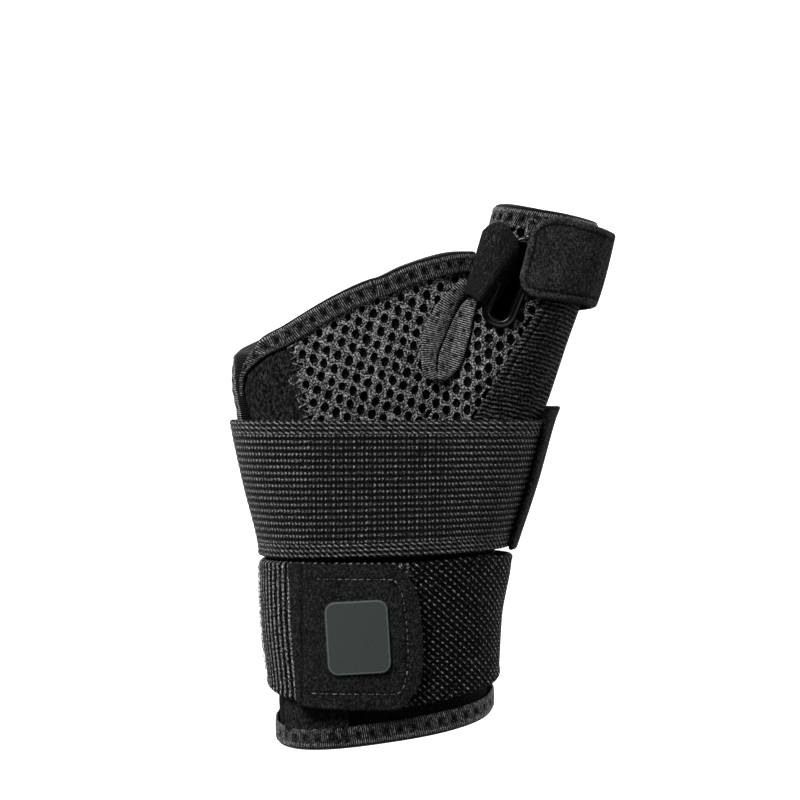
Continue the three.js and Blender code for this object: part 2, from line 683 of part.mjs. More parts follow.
function netCovered(x, z) {
  return [palmRibbon, thumbRibbon].some((outline) => insideOutline(outline, x, z)) || z < HAND_STRAP_TOP;
}

const PALM_NET_SPAN = [{ across: -0.382, up: 0.674 }, { across: 0.382, up: 0.993 }];
const THUMB_NET_SPAN = [{ across: 0.235, up: 0.677 }, { across: 0.647, up: 0.894 }];

function palmMesh() {
  const clear = (x, z) => insideOutline(palmNetOutline, x, z) && !netCovered(x, z) && z < palmTapeFoot(x);
  const net = layer(SKIN_IN, SKIN_OUT).intersect(frontPrism(palmNetOutline, -FAR, -6)).subtract(strapLane);
  return net.subtract(wasm.Manifold.union(netHoles(clear, ...PALM_NET_SPAN.map(onHand))));
}

function thumbMesh() {
  const eyelet = shapePrism(slotShape(EYELET_RADIUS + CLEARANCE), -FAR, 0);
  const strapped = (x, z) => z > WEB_HEIGHT + 1;
  const clear = (x, z) => insideOutline(thumbNetOutline, x, z) && !netCovered(x, z) && !strapped(x, z)
    && Math.hypot(x - slotFoot.x, z - slotFoot.z) > EYELET_RADIUS + CLEARANCE;
  const front = frontPrism(thumbNetOutline, -FAR, -THUMB_FORWARD);
  const net = layer(SKIN_IN, SKIN_OUT).intersect(front).subtract(aboveRimTape).subtract(eyelet);
  return net.subtract(wasm.Manifold.union(netHoles(clear, ...THUMB_NET_SPAN.map(onHand))));
}

// Largest body of a cut layer, without the slivers that a crease leaves beside it
function mainBody(body) {
  return body.decompose().reduce((best, part) => (part.volume() > best.volume() ? part : best));
}

const ribbon = (outline) => mainBody(layer(TAPE_IN, TAPE_OUT).intersect(frontPrism(outline, -FAR, -8)));

function staySleeve() {
  const [head, foot] = [stayBorder.at(-1).z, stayBorder[0].z];
  const outline = [...stayBorder, { x: FAR, z: head }, { x: FAR, z: foot }];
  return layer(SKIN_IN, STAY_OUT).intersect(frontPrism(outline, -FAR, -3)).subtract(aboveRimTape);
}

function slotEyelet() {
  return thumbForm(EYELET_OUT).subtract(thumbForm(SKIN_IN))
    .intersect(shapePrism(slotShape(EYELET_RADIUS), -FAR, -THUMB_FORWARD))
    .subtract(shapePrism(slotShape(SLOT_RADIUS), -FAR, -THUMB_FORWARD));
}

function thumbStrap() {
  const run = (column, turn) => smoothColumn(THUMB_STRAP_RUN, "turn", column, turn);
  const middle = (turn) => THUMB_ROOT_Z + THUMB_RISE * run("middle", turn);
  const half = (turn) => THUMB_STRAP_WIDTH * run("half", turn);
  const turns = THUMB_STRAP_RUN.flatMap(({ turn }, i, rows) => {
    const next = rows[i + 1];
    return next && Math.abs(next.turn - turn) > 14 ? [turn, (turn + next.turn) / 2] : [turn];
  });
  return bandGeometry({
    surface: thumbSurface,
    turns,
    low: (turn) => middle(turn) - half(turn),
    high: (turn) => middle(turn) + half(turn),
    standoff: (turn) => Math.max(THUMB_STRAP_THICKNESS * run("standoff", turn), SKIN_IN),
    thickness: THUMB_STRAP_THICKNESS,
    rows: 4,
  });
}

const handStrapLow = (turn) => {
  const foot = strapSurface(turn, HAND_STRAP_BOTTOM, 0);
  return HAND_STRAP_BOTTOM + 0.045 * foot.x + 0.05 * foot.y;
};

function handStrap() {
  return bandGeometry({
    surface: strapSurface,
    turns: evenTurns(STRAP_SIDES),
    low: handStrapLow,
    high: () => HAND_STRAP_TOP,
    standoff: () => HAND_STRAP_STANDOFF,
    thickness: HAND_STRAP_THICKNESS,
    levels: loftLevels(HAND_STRAP_BOTTOM, HAND_STRAP_TOP),
    closed: true,
  });
}

// Share of a tab's full height that is left near its round end
function roundEnd(distance, radius) {
  const t = THREE.MathUtils.clamp(1 - distance / radius, 0, 1);
  return 1 - 0.35 * t ** 3;
}

function handStrapTab() {
  const step = 360 / STRAP_SIDES;
  const [start, end] = [HAND_TAB_START * step, HAND_TAB_END * step];
  const kinks = Array.from({ length: HAND_TAB_END - HAND_TAB_START - 1 }, (_, i) => start + (i + 1) * step);
  const full = HAND_STRAP_TOP - HAND_STRAP_BOTTOM + HAND_TAB_OVERHANG;
  const middle = (HAND_STRAP_TOP + HAND_STRAP_BOTTOM + HAND_TAB_OVERHANG) / 2;
  const half = (turn) => (full / 2) * Math.min(roundEnd(end - turn, 14), roundEnd(turn - start, 4));
  return bandGeometry({
    surface: strapSurface,
    turns: [start, start + 2, start + 5, ...kinks, end - 5, end - 2, end],
    low: (turn) => middle - half(turn),
    high: (turn) => middle + half(turn),
    standoff: () => HAND_STRAP_STANDOFF + HAND_STRAP_THICKNESS + TAPE_EASE,
    thickness: HAND_TAB_THICKNESS,
    levels: loftLevels(HAND_STRAP_BOTTOM + 7, HAND_STRAP_TOP - 2),
  });
}

function wristStrap() {
  return bandGeometry({
    surface: handSurface,
    turns: evenTurns(HAND_SIDES),
    low: (turn) => WRIST_STRAP_BOTTOM + WRIST_STRAP_LEAN * handSurface(turn, WRIST_STRAP_BOTTOM, TAPE_OUT).y,
    high: () => WRIST_STRAP_TOP,
    standoff: () => TAPE_IN,
    thickness: WRIST_STRAP_THICKNESS,
    rows: 3,
    closed: true,
  });
}

const WRIST_TAB_IN = TAPE_IN + WRIST_STRAP_THICKNESS + CLEARANCE;

function wristStrapTab() {
  const [start, end] = [-129, -76];
  const round = (turn) => Math.min(roundEnd(end - turn, 13), roundEnd(turn - start, 3));
  const half = (turn) => (WRIST_TAB_HEIGHT / 2) * round(turn);
  const middle = WRIST_STRAP_TOP - WRIST_TAB_HEIGHT / 2;
  return bandGeometry({
    surface: handSurface,
    turns: [start, start + 1.5, start + 4, ...evenTurns(7, -121, -89), -85.5, -82, -79, -77, end],
    low: (turn) => middle - half(turn),
    high: (turn) => middle + half(turn),
    standoff: () => WRIST_TAB_IN,
    thickness: WRIST_TAB_THICKNESS,
    rows: 4,
  });
}

function labelPatch() {
  const [w, h, r] = [LABEL_WIDTH / 2, LABEL_HEIGHT / 2, LABEL_CORNER];
  const shape = new THREE.Shape();
  shape.absarc(w - r, h - r, r, 0, Math.PI / 2, false);
  shape.absarc(r - w, h - r, r, Math.PI / 2, Math.PI, false);
  shape.absarc(r - w, r - h, r, Math.PI, Math.PI * 1.5, false);
  shape.absarc(w - r, r - h, r, Math.PI * 1.5, Math.PI * 2, false);
  const geometry = new THREE.ExtrudeGeometry(shape, { depth: FAR, bevelEnabled: false, curveSegments: 4 });
  const [x, z] = [HAND_WIDTH * LABEL_CENTRE.across, WRIST_STRAP_TOP - WRIST_TAB_HEIGHT * LABEL_CENTRE.down];
  geometry.rotateZ(radians(LABEL_TILT)).rotateX(Math.PI / 2).translate(x, 0, z);
  const inner = WRIST_TAB_IN + WRIST_TAB_THICKNESS + CLEARANCE;
  const skin = handForm(inner + LABEL_THICKNESS).subtract(handForm(inner));
  return skin.intersect(solid(geometry));
}

const palmTape = () => solid(tapeGeometry(palmRun)).subtract(strapLane);

const backTape = () => solid(tapeGeometry(backRun)).subtract(strapLane);

const hemTape = () => tapeGeometry({
  surface: handSurface,
  edge: evenTurns(HAND_SIDES).map((turn) => ({ turn, z: hemHeight(turn) })),
  side: 1,
  closed: true,
});

const rimTape = () => tapeGeometry({
  surface: thumbSurface,
  edge: evenTurns(THUMB_SIDES).map((turn) => ({ turn, z: rimHeight(turn) })),
  side: -1,
  closed: true,
});

const splint = new THREE.Group();

function addPiece(name, shape, material) {
  const geometry = shape.isBufferGeometry ? shape : geometryOf(shape);
  const mesh = new THREE.Mesh(geometry, new THREE.MeshStandardMaterial({ metalness: 0, ...material }));
  mesh.name = name;
  splint.add(mesh);
}

addPiece("liner_shell", linerShell(), MATERIALS.liner);
addPiece("palm_loop_patch", palmLoopPatch(), MATERIALS.velour);
addPiece("palm_mesh", palmMesh(), MATERIALS.net);
addPiece("thumb_mesh", thumbMesh(), MATERIALS.net);
addPiece("palm_edge_binding", palmTape(), MATERIALS.tape);
addPiece("dorsal_edge_binding", backTape(), MATERIALS.tape);
addPiece("hem_binding", hemTape(), MATERIALS.tape);
addPiece("thumb_rim_binding", rimTape(), MATERIALS.tape);
addPiece("web_ribbon_palm", ribbon(palmRibbon), MATERIALS.tape);
addPiece("web_ribbon_thumb", ribbon(thumbRibbon), MATERIALS.tape);
addPiece("stay_sleeve", staySleeve(), MATERIALS.ribbed);
addPiece("slot_eyelet", slotEyelet(), MATERIALS.plastic);
addPiece("thumb_strap", thumbStrap(), MATERIALS.felt);
addPiece("hand_strap", handStrap(), MATERIALS.elastic);
addPiece("hand_strap_tab", handStrapTab(), MATERIALS.felt);
addPiece("wrist_strap", wristStrap(), MATERIALS.knit);
addPiece("wrist_strap_tab", wristStrapTab(), MATERIALS.felt);
addPiece("label_patch", labelPatch(), MATERIALS.label);

export default splint;
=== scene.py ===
import math

import bmesh
import bpy
import numpy as np
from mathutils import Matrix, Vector


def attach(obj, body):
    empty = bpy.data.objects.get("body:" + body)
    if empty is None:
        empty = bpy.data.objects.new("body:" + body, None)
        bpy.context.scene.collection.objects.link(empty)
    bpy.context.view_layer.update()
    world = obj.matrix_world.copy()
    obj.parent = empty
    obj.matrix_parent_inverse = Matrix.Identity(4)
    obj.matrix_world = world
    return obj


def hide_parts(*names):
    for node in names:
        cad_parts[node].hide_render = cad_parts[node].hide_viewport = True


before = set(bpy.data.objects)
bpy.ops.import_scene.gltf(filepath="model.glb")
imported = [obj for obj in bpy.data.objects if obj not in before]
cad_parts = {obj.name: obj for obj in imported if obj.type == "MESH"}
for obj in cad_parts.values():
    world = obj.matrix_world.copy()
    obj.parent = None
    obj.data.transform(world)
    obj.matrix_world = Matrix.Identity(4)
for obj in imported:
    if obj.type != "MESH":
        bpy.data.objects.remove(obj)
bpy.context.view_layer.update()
rng = np.random.default_rng(7)

# Sizes of the part, in millimetres
BODY_HEIGHT, HAND_WIDTH, HAND_DEPTH, HAND_ROUNDNESS = 141, 68, 40, 0.8
THUMB_ROOT_X, THUMB_ROOT_Z, THUMB_RISE, THUMB_SPREAD, THUMB_FORWARD = 17, 55, 97, 28.7, 10
THUMB_WIDTH, THUMB_DEPTH, THUMB_ROUNDNESS, WEB_HEIGHT, RIM_TILT = 26, 24, 0.93, 124, 2.6
CLOTH, SKIN, TAPE = 1.6, 0.9, 0.9
SKIN_IN, SKIN_OUT, TAPE_IN, TAPE_OUT = 1.9, 2.8, 3.25, 4.15
BINDING_INSET, STITCH, LINER_LANE = 0.9, 3.9, 4.4
HEM_LEVEL, HEM_SLOPE, HEM_LEAN = 6.1, 0.14, 0.15
HAND_STRAP_TOP, HAND_STRAP_BOTTOM, HAND_STANDOFF = 93.2, 56, 4.7
WRIST_STRAP_TOP, WRIST_STRAP_BOTTOM = 53.3, 17.8
SLOT_FOOT, SLOT_LENGTH, SLOT_TILT, SLOT_RADIUS, EYELET_RADIUS = (32.1, 123.9), 17.8, 21.6, 2.4, 5.1
THUMB_STRAP_WIDTH, THUMB_STRAP_THICKNESS, THUMB_TAB_ROUNDING = 23, 1.9, 7.5
HAND_STRAP_WIDTH, ELASTIC_ROW, ELASTIC_CORD = 38.0, 1.73, 1.35
WRIST_TAB_FOOT, WRIST_TAB_TOP, WRIST_TAB_SEAM, WRIST_TAB_IN = 12.7, 53.0, -23.6, 5.75
VELOUR_SIDE_TURN, VELOUR_TOP, HAND_RADIUS = -151.3, 119.5, 34
SPLIT_TURNS, SPLIT_HEIGHT = (-157.4, -152.1), 80.0
NET_PITCH, NET_HOLE, NET_FOOT, RIBBON_PUFF = (3, 4), (1.02, 1.38), 84, 0.35
STAY_FOOT, STAY_TOP, STAY_THICKNESS = 84, 147, 2.0
ELASTIC_THICKNESS, KNIT_THICKNESS, WRIST_TAB_THICKNESS = 1.6, 2.2, 2.0
HAND_TAB_IN, HAND_TAB_THICKNESS, HAND_TAB_MIDDLE, HAND_TAB_HALF = 6.75, 1.5, 76.6, 20.6
LABEL_IN, LABEL_THICKNESS, LABEL_TILT, LABEL_MIDDLE = 8.0, 0.65, 3.5, (-7.82, 32.6)

# Hollow of the hand: at, left, right, front, back
HAND_SECTIONS = np.array([
    (-0.05, -0.4, 0.385, -0.4875, 0.4875),
    (0.113, -0.418, 0.397, -0.4875, 0.4875),
    (0.241, -0.447, 0.41, -0.495, 0.495),
    (0.355, -0.456, 0.429, -0.505, 0.5),
    (0.404, -0.45, 0.432, -0.505, 0.5),
    (0.532, -0.513, 0.429, -0.5, 0.5),
    (0.66, -0.572, 0.421, -0.4875, 0.4875),
    (0.752, -0.596, 0.412, -0.4625, 0.4625),
    (0.851, -0.553, 0.409, -0.4, 0.425),
    (0.936, -0.507, 0.401, -0.35, 0.3875),
    (1.06, -0.475, 0.384, -0.305, 0.36),
])
# Hollow of the thumb: at, out, forward, half width, half depth
THUMB_SECTIONS = np.array([
    (0, 0, 0.2, 0.46, 0.58),
    (0.206, 0.195, 0.4, 0.495, 0.6),
    (0.392, 0.352, 0.55, 0.512, 0.6),
    (0.454, 0.408, 0.6, 0.538, 0.583),
    (0.619, 0.613, 0.78, 0.512, 0.53),
    (0.773, 0.808, 0.9, 0.488, 0.479),
    (1, 1, 1, 0.435, 0.417),
    (1.08, 1.06, 1.02, 0.42, 0.405),
])
PALM_EDGE = np.array([
    (-152, 0.71), (-151.5, 0.735), (-150, 0.765), (-141, 0.822), (-125.5, 0.855), (-107, 0.903),
    (-91.8, 0.941), (-78.9, 0.973), (-57.2, 0.997), (-36, 1.002), (-20, 1),
])
BACK_EDGE = np.array([
    (18, 0.955), (40, 0.95), (65, 0.93), (90, 0.9), (120, 0.862), (150, 0.825), (172, 0.806),
    (188, 0.793), (198, 0.766), (201.5, 0.73), (202.5, 0.69), (202.5, 0.6),
])
# Run of the thumb strap: turn, standoff in thicknesses, middle in thumb rises, half in strap widths
THUMB_STRAP = np.array([
    (-109, 0.3, 0.805, 0.32), (-112, 1.2, 0.808, 0.33), (-116, 2.5, 0.815, 0.34), (-128, 2.5, 0.84, 0.4),
    (-142, 2.45, 0.862, 0.45), (-152, 2.45, 0.862, 0.44), (-165, 2, 0.86, 0.42), (-190, 1.75, 0.857, 0.42),
    (-230, 1.25, 0.85, 0.41), (-270, 1.1, 0.83, 0.42), (-315, 1.7, 0.812, 0.41), (-330, 2.5, 0.818, 0.42),
    (-345, 3.1, 0.825, 0.44), (-365, 3.7, 0.83, 0.45), (-382, 4, 0.832, 0.455), (-395, 3.9, 0.838, 0.46),
    (-415, 3.2, 0.85, 0.485), (-436, 2.6, 0.862, 0.5), (-450, 2.5, 0.866, 0.5), (-461, 2.5, 0.868, 0.5),
])
PATCH_BORDER = np.array([(-27, 121), (-27, 115), (-24.4, 104.5), (-22.2, 94.6), (-10, 7), (-9, -4)])
FOLD_LINE = np.array([(14.5, 84), (14.5, 104.5), (16, 113.6), (19.8, 122.8), (24.4, 129.5), (27.5, 134)])
STAY_BORDER = np.array([(19, 84), (24.4, 93.8), (33.5, 109.8), (43.4, 125.9), (49, 137), (51.5, 160)])


# Form
def joined(*parts):
    """Coordinates put together on a new last axis."""
    return np.stack(np.broadcast_arrays(*parts), -1)


def bell(value, middle, width):
    """1 at the middle, falling to nothing over about twice the width on both sides."""
    return np.exp(-(((value - middle) / width) ** 2))


def wave(value, length):
    """From 0 to 1 and back once for each length."""
    return 0.5 - 0.5 * np.cos(2 * np.pi * value / length)


def run_along(points):
    """Distance run along the first axis of points."""
    steps = np.linalg.norm(np.diff(points, axis=0), axis=-1)
    return np.concatenate([0 * steps[:1], np.cumsum(steps, axis=0)])


def smooth(keys, values, at):
    """Smooth value of a table's column between its rows."""
    keys, values, at = (np.asarray(a, float) for a in (keys, values, at))
    if keys[-1] < keys[0]:
        keys, values = keys[::-1], values[::-1]
    last = len(keys) - 1
    places = np.arange(last + 1)
    low, high = np.maximum(places - 1, 0), np.minimum(places + 1, last)
    slopes = (values[high] - values[low]) / (keys[high] - keys[low])
    i = np.clip(np.searchsorted(keys, at, side="right") - 1, 0, last - 1)
    span = keys[i + 1] - keys[i]
    t = np.clip((at - keys[i]) / span, 0, 1)
    pull = t * t * (3 - 2 * t)
    ease = slopes[i] * span * t * (1 - t) ** 2 - slopes[i + 1] * span * t * t * (1 - t)
    return values[i] * (1 - pull) + values[i + 1] * pull + ease


def columns(table, at, picks):
    """Smooth values of some columns of a table, whose first column says where its rows are."""
    return [smooth(table[:, 0], table[:, k], at) for k in picks]


def step(low, high, value):
    """0 at low and 1 at high, smooth between."""
    t = np.clip((np.asarray(value, float) - low) / (high - low), 0, 1)
    return t * t * (3 - 2 * t)


def hand_section(z, out):
    at = np.asarray(z, float) / BODY_HEIGHT
    left, right = (HAND_WIDTH * side for side in columns(HAND_SECTIONS, at, (1, 2)))
    palm, back = (HAND_DEPTH * side for side in columns(HAND_SECTIONS, at, (3, 4)))
    return (left + right) / 2, (palm + back) / 2, (right - left) / 2 + out, (back - palm) / 2 + out


def thumb_section(z, out):
    at = (np.asarray(z, float) - THUMB_ROOT_Z) / THUMB_RISE
    across, forward, wide, deep = columns(THUMB_SECTIONS, at, (1, 2, 3, 4))
    cx, cy = THUMB_ROOT_X + THUMB_SPREAD * across, -THUMB_FORWARD * forward
    return cx, cy, THUMB_WIDTH * wide + out, THUMB_DEPTH * deep + out


def rounded(section, turn, z, roundness):
    cx, cy, half_x, half_y = section
    c, s = np.cos(np.radians(turn)), np.sin(np.radians(turn))
    x = cx + half_x * np.sign(c) * np.abs(c) ** roundness
    y = cy + half_y * np.sign(s) * np.abs(s) ** roundness
    return joined(x, y, z).astype(float)


def hand(turn, z, out):
    return rounded(hand_section(z, out), turn, z, HAND_ROUNDNESS)


def thumb(turn, z, out):
    return rounded(thumb_section(z, out), turn, z, THUMB_ROUNDNESS)


def front_depth(section, x, roundness):
    """y of a rounded section's front at x, falling steeply away beyond its sides."""
    cx, cy, half_x, half_y = section
    u = (x - cx) / half_x
    c = np.minimum(np.abs(u), 1) ** (1 / roundness)
    y = cy - half_y * np.sqrt(np.maximum(1 - c * c, 0)) ** roundness
    return y + np.maximum(np.abs(u) - 1, 0) * 90


def front(x, z, out, crease=1.6):
    """Point on the front of the joined hand and thumb forms."""
    a = front_depth(hand_section(z, out), x, HAND_ROUNDNESS)
    b = front_depth(thumb_section(z, out), x, THUMB_ROUNDNESS)
    h = np.clip(0.5 + 0.5 * (b - a) / crease, 0, 1)
    y = b * (1 - h) + a * h - crease * h * (1 - h)
    return joined(x, y, z).astype(float)


def hand_front(x, z, out):
    y = front_depth(hand_section(z, out), x, HAND_ROUNDNESS)
    return joined(x, y, z).astype(float)


def thumb_front(x, z, out):
    y = front_depth(thumb_section(z, out), x, THUMB_ROUNDNESS)
    return joined(x, y, z).astype(float)


def front_turn(section, x, roundness):
    """Turn of the point on a rounded section's front at x."""
    cx, _, half_x, _ = section
    u = np.clip((x - cx) / half_x, -1, 1)
    return -np.degrees(np.arccos(np.sign(u) * np.abs(u) ** (1 / roundness)))


def hull_table(levels, turns, out):
    """Polar radius of a strap pulled tight round hand and thumb, for each level and turn."""
    normal = np.radians(np.arange(0, 360, 1.0))
    ring = np.arange(0, 360, 2.0)
    table = np.zeros((len(levels), len(turns)))
    for i, z in enumerate(levels):
        points = [hand(ring, z, out)[:, :2]]
        if z > THUMB_ROOT_Z:
            points.append(thumb(ring, z, out)[:, :2])
        points = np.concatenate(points)
        reach = (points @ np.stack([np.cos(normal), np.sin(normal)])).max(0)
        lean = np.cos(normal[None] - np.radians(turns)[:, None])
        table[i] = np.where(lean > 0.05, reach[None] / np.maximum(lean, 0.05), 1e9).min(1)
    return table


HULL_LEVELS, HULL_TURNS = np.arange(44, 106, 2.0), np.arange(-180, 182, 2.0)
HULL = hull_table(HULL_LEVELS, HULL_TURNS, HAND_STANDOFF)


def strap(turn, z, out):
    turn, z = np.broadcast_arrays(np.asarray(turn, float), np.asarray(z, float))
    a = ((turn + 180) % 360) / 2
    b = np.clip((z - HULL_LEVELS[0]) / 2, 0, len(HULL_LEVELS) - 1.001)
    i, j = np.floor(b).astype(int), np.floor(a).astype(int)
    u, v = b - i, a - j
    low = HULL[i, j] * (1 - v) + HULL[i, j + 1] * v
    high = HULL[i + 1, j] * (1 - v) + HULL[i + 1, j + 1] * v
    reach = low * (1 - u) + high * u + out - HAND_STANDOFF
    return np.stack([np.cos(np.radians(turn)) * reach, np.sin(np.radians(turn)) * reach, z], -1)


def curve(points, at):
    """Smooth curve through points in a plane, at shares of its length."""
    points = np.asarray(points, float)
    reach = run_along(points)
    reach /= reach[-1]
    return joined(*(smooth(reach, points[:, k], at) for k in range(points.shape[1])))


def hem_fullness(z):
    """How much further out the cloth lies where it meets the hem tape."""
    return 1.2 * step(18, 13, z)


def hem_height(turn):
    foot = hand(turn, 0, TAPE_OUT)
    return HEM_LEVEL + HEM_SLOPE * foot[..., 0] + HEM_LEAN * foot[..., 1]


def rim_height(turn):
    return THUMB_ROOT_Z + THUMB_RISE - RIM_TILT * np.cos(np.radians(turn))


def body_edge(turn):
    wrapped = np.asarray(turn, float) % 360
    palm = BODY_HEIGHT * smooth(PALM_EDGE[:, 0], PALM_EDGE[:, 1], wrapped - 360)
    back = BODY_HEIGHT * smooth(BACK_EDGE[:-3, 0], BACK_EDGE[:-3, 1], wrapped)
    return np.where(wrapped >= 202.5, palm, back)


# Meshes
def placed(name, data):
    """New object in the scene."""
    obj = bpy.data.objects.new(name, data)
    bpy.context.scene.collection.objects.link(obj)
    return obj


def build(name, parts, material, weld=True, ride=True):
    """Object from grids: each part is (points, uv, tone), in millimetres."""
    verts, faces, uvs, tones, base = [], [], [], [], 0
    for points, uv, tone in parts:
        nu, nv = points.shape[:2]
        index = base + np.arange(nu * nv).reshape(nu, nv)
        quads = np.stack([index[:-1, :-1], index[1:, :-1], index[1:, 1:], index[:-1, 1:]], -1)
        verts.append(points.reshape(-1, 3))
        faces.append(quads.reshape(-1, 4))
        uvs.append(np.broadcast_to(uv, (nu, nv, 2)).reshape(-1, 2))
        tones.append(np.broadcast_to(tone, (nu, nv)).reshape(-1))
        base += nu * nv
    verts, faces, uvs, tones = (np.concatenate(rows) for rows in (verts, faces, uvs, tones))
    mesh = bpy.data.meshes.new(name)
    mesh.from_pydata((verts * 0.001).tolist(), [], faces.tolist())
    layer = mesh.uv_layers.new(name="mm")
    layer.data.foreach_set("uv", uvs[faces.reshape(-1)].astype(np.float32).reshape(-1))
    shade = mesh.attributes.new("tone", "FLOAT", "POINT")
    shade.data.foreach_set("value", tones.astype(np.float32))
    if weld:
        work = bmesh.new()
        work.from_mesh(mesh)
        bmesh.ops.remove_doubles(work, verts=work.verts, dist=3e-6)
        bmesh.ops.recalc_face_normals(work, faces=work.faces)
        work.to_mesh(mesh)
        work.free()
    mesh.shade_smooth()
    mesh.materials.append(material)
    obj = placed(name, mesh)
    if ride:
        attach(obj, "root")
    return obj


def soft_edge(distance, radius):
    """Share of the half thickness that is left at a distance from the edge."""
    return np.sqrt(np.maximum(1 - (1 - np.clip(distance / radius, 0, 1)) ** 2, 0))


def slab(place, standoff, thickness, round_share, uv, relief=0, tone=0):
    """Outer and inner grid of a cloth piece whose border is rounded to nothing."""
    half = thickness / 2
    outer = place(standoff + half + half * round_share + relief * (round_share > 0))
    inner = place(standoff + half - half * round_share)
    return [(outer, uv, tone), (inner, uv, np.zeros_like(round_share))]


def shares(near, count):
    """Shares from 0 to 1: the places near 0, even ones between, and the mirror of the first."""
    near = np.array(near)
    return np.concatenate([near[:-1], np.linspace(near[-1], 1 - near[-1], count), 1 - near[-2::-1]])


def spaced(length, pitch, edge=1.0, rows=5):
    """Even places from 0 to a length, denser near both ends."""
    near = edge * (1 - np.cos(np.linspace(0, np.pi / 2, rows)))
    inside = np.linspace(edge, length - edge, max(int((length - 2 * edge) / pitch), 2))
    return np.concatenate([near[:-1], inside, (length - near[::-1])[1:]])


# Materials
class Field:
    """A value in a node tree, with sums and products as nodes."""

    def __init__(self, tree, socket):
        self.tree, self.socket = tree, socket

    def math(self, kind, *others):
        node = self.tree.nodes.new("ShaderNodeMath")
        node.operation = kind
        for i, value in enumerate((self, *others)):
            if isinstance(value, Field):
                self.tree.links.new(value.socket, node.inputs[i])
            else:
                node.inputs[i].default_value = value
        return Field(self.tree, node.outputs[0])

    def __add__(self, other):
        return self.math("ADD", other)

    def __sub__(self, other):
        return self.math("SUBTRACT", other)

    def __mul__(self, other):
        return self.math("MULTIPLY", other)

    def __truediv__(self, other):
        return self.math("DIVIDE", other)

    def rest(self):
        """1 less the value."""
        return self * -1.0 + 1.0

    def fract(self):
        return self.math("FRACT")

    def wave(self):
        """From 0 to 1 and back once for each whole number."""
        return (self * (2 * math.pi)).math("COSINE") * -0.5 + 0.5

    def power(self, share):
        return self.math("POWER", share)

    def below(self, low, high):
        """1 below low, 0 above high, smooth between."""
        node = self.tree.nodes.new("ShaderNodeMapRange")
        node.interpolation_type = "SMOOTHSTEP"
        self.tree.links.new(self.socket, node.inputs["Value"])
        for name, value in (("From Min", low), ("From Max", high), ("To Min", 1.0), ("To Max", 0.0)):
            node.inputs[name].default_value = value
        return Field(self.tree, node.outputs["Result"])


class Cloth:
    """Node material of a piece, with its millimetre coordinates and noises at hand."""

    def __init__(self, name):
        self.material = bpy.data.materials.new(name)
        self.material.use_nodes = True
        self.tree = self.material.node_tree
        self.shader = self.tree.nodes["Principled BSDF"]
        self.shader.inputs["Metallic"].default_value = 0.0

    def mm(self):
        node = self.tree.nodes.new("ShaderNodeUVMap")
        node.uv_map = "mm"
        split = self.tree.nodes.new("ShaderNodeSeparateXYZ")
        self.tree.links.new(node.outputs["UV"], split.inputs[0])
        return Field(self.tree, split.outputs[0]), Field(self.tree, split.outputs[1])

    def place(self):
        node = self.tree.nodes.new("ShaderNodeTexCoord")
        split = self.tree.nodes.new("ShaderNodeSeparateXYZ")
        self.tree.links.new(node.outputs["Object"], split.inputs[0])
        return [Field(self.tree, socket) * 1000.0 for socket in split.outputs]

    def tone(self):
        node = self.tree.nodes.new("ShaderNodeAttribute")
        node.attribute_name = "tone"
        return Field(self.tree, node.outputs["Fac"])

    def noise(self, size, detail=2.0, rough=0.5, stretch=(1, 1, 1)):
        """Noise from 0 to 1 with features of about a size in millimetres."""
        coordinate = self.tree.nodes.new("ShaderNodeTexCoord")
        mapping = self.tree.nodes.new("ShaderNodeMapping")
        mapping.inputs["Scale"].default_value = [s * 1000.0 / size for s in stretch]
        node = self.tree.nodes.new("ShaderNodeTexNoise")
        node.inputs["Scale"].default_value = 1.0
        node.inputs["Detail"].default_value = detail
        node.inputs["Roughness"].default_value = rough
        self.tree.links.new(coordinate.outputs["Object"], mapping.inputs["Vector"])
        self.tree.links.new(mapping.outputs["Vector"], node.inputs["Vector"])
        return Field(self.tree, node.outputs["Fac"])

    def colour(self, factor, *stops):
        """Base colour from a ramp of (place, grey or colour) stops."""
        ramp = self.tree.nodes.new("ShaderNodeValToRGB")
        points = ramp.color_ramp.elements
        while len(points) < len(stops):
            points.new(0.5)
        for point, (place, shade) in zip(points, stops):
            point.position = place
            point.color = (*shade, 1) if isinstance(shade, tuple) else (shade, shade, shade * 1.015, 1)
        self.tree.links.new(factor.socket, ramp.inputs["Fac"])
        self.tree.links.new(ramp.outputs["Color"], self.shader.inputs["Base Color"])

    def bump(self, height, distance, strength=1.0):
        node = self.tree.nodes.new("ShaderNodeBump")
        node.inputs["Strength"].default_value = strength
        node.inputs["Distance"].default_value = distance * 0.001
        self.tree.links.new(height.socket, node.inputs["Height"])
        self.tree.links.new(node.outputs["Normal"], self.shader.inputs["Normal"])

    def set(self, **values):
        for name, value in values.items():
            self.shader.inputs[name.replace("_", " ")].default_value = value
        return self.material


def plain_cloth(name, low, high, size=0.5, rough=0.95, sheen=0.0, depth=0.25, stretch=(1, 1, 1)):
    cloth = Cloth(name)
    fine = cloth.noise(size, 3.0, 0.7, stretch)
    cloth.colour(((fine - 0.5) * 4.5 + 0.5) * (cloth.tone() + 1.0),
                 (0.0, low * 0.2), (0.5, (low + high) / 2), (1.0, high * 2.6))
    cloth.bump(fine, depth * 3.0)
    return cloth.set(Roughness=rough, Sheen_Weight=sheen, Sheen_Roughness=0.5, Specular_IOR_Level=0.03)


def net_material():
    cloth = Cloth("net_yarn")
    yarn = cloth.noise(0.48, 2.0, 0.8)
    fleck = cloth.noise(1.3, 2.0, 0.5)
    # The bright speckles are partly the yarn's grain and partly painted glints; the tone adds the rings'
    # painted highlight and painted shade
    cloth.colour((yarn - 0.5) * 4.5 + fleck * 0.5 + cloth.tone() * 0.3 + 0.12,
                 (0.0, 0.003), (0.36, 0.023), (0.6, 0.13), (1.0, 0.8))
    cloth.bump(yarn, 1.2)
    return cloth.set(Roughness=0.8, Specular_IOR_Level=0.06)


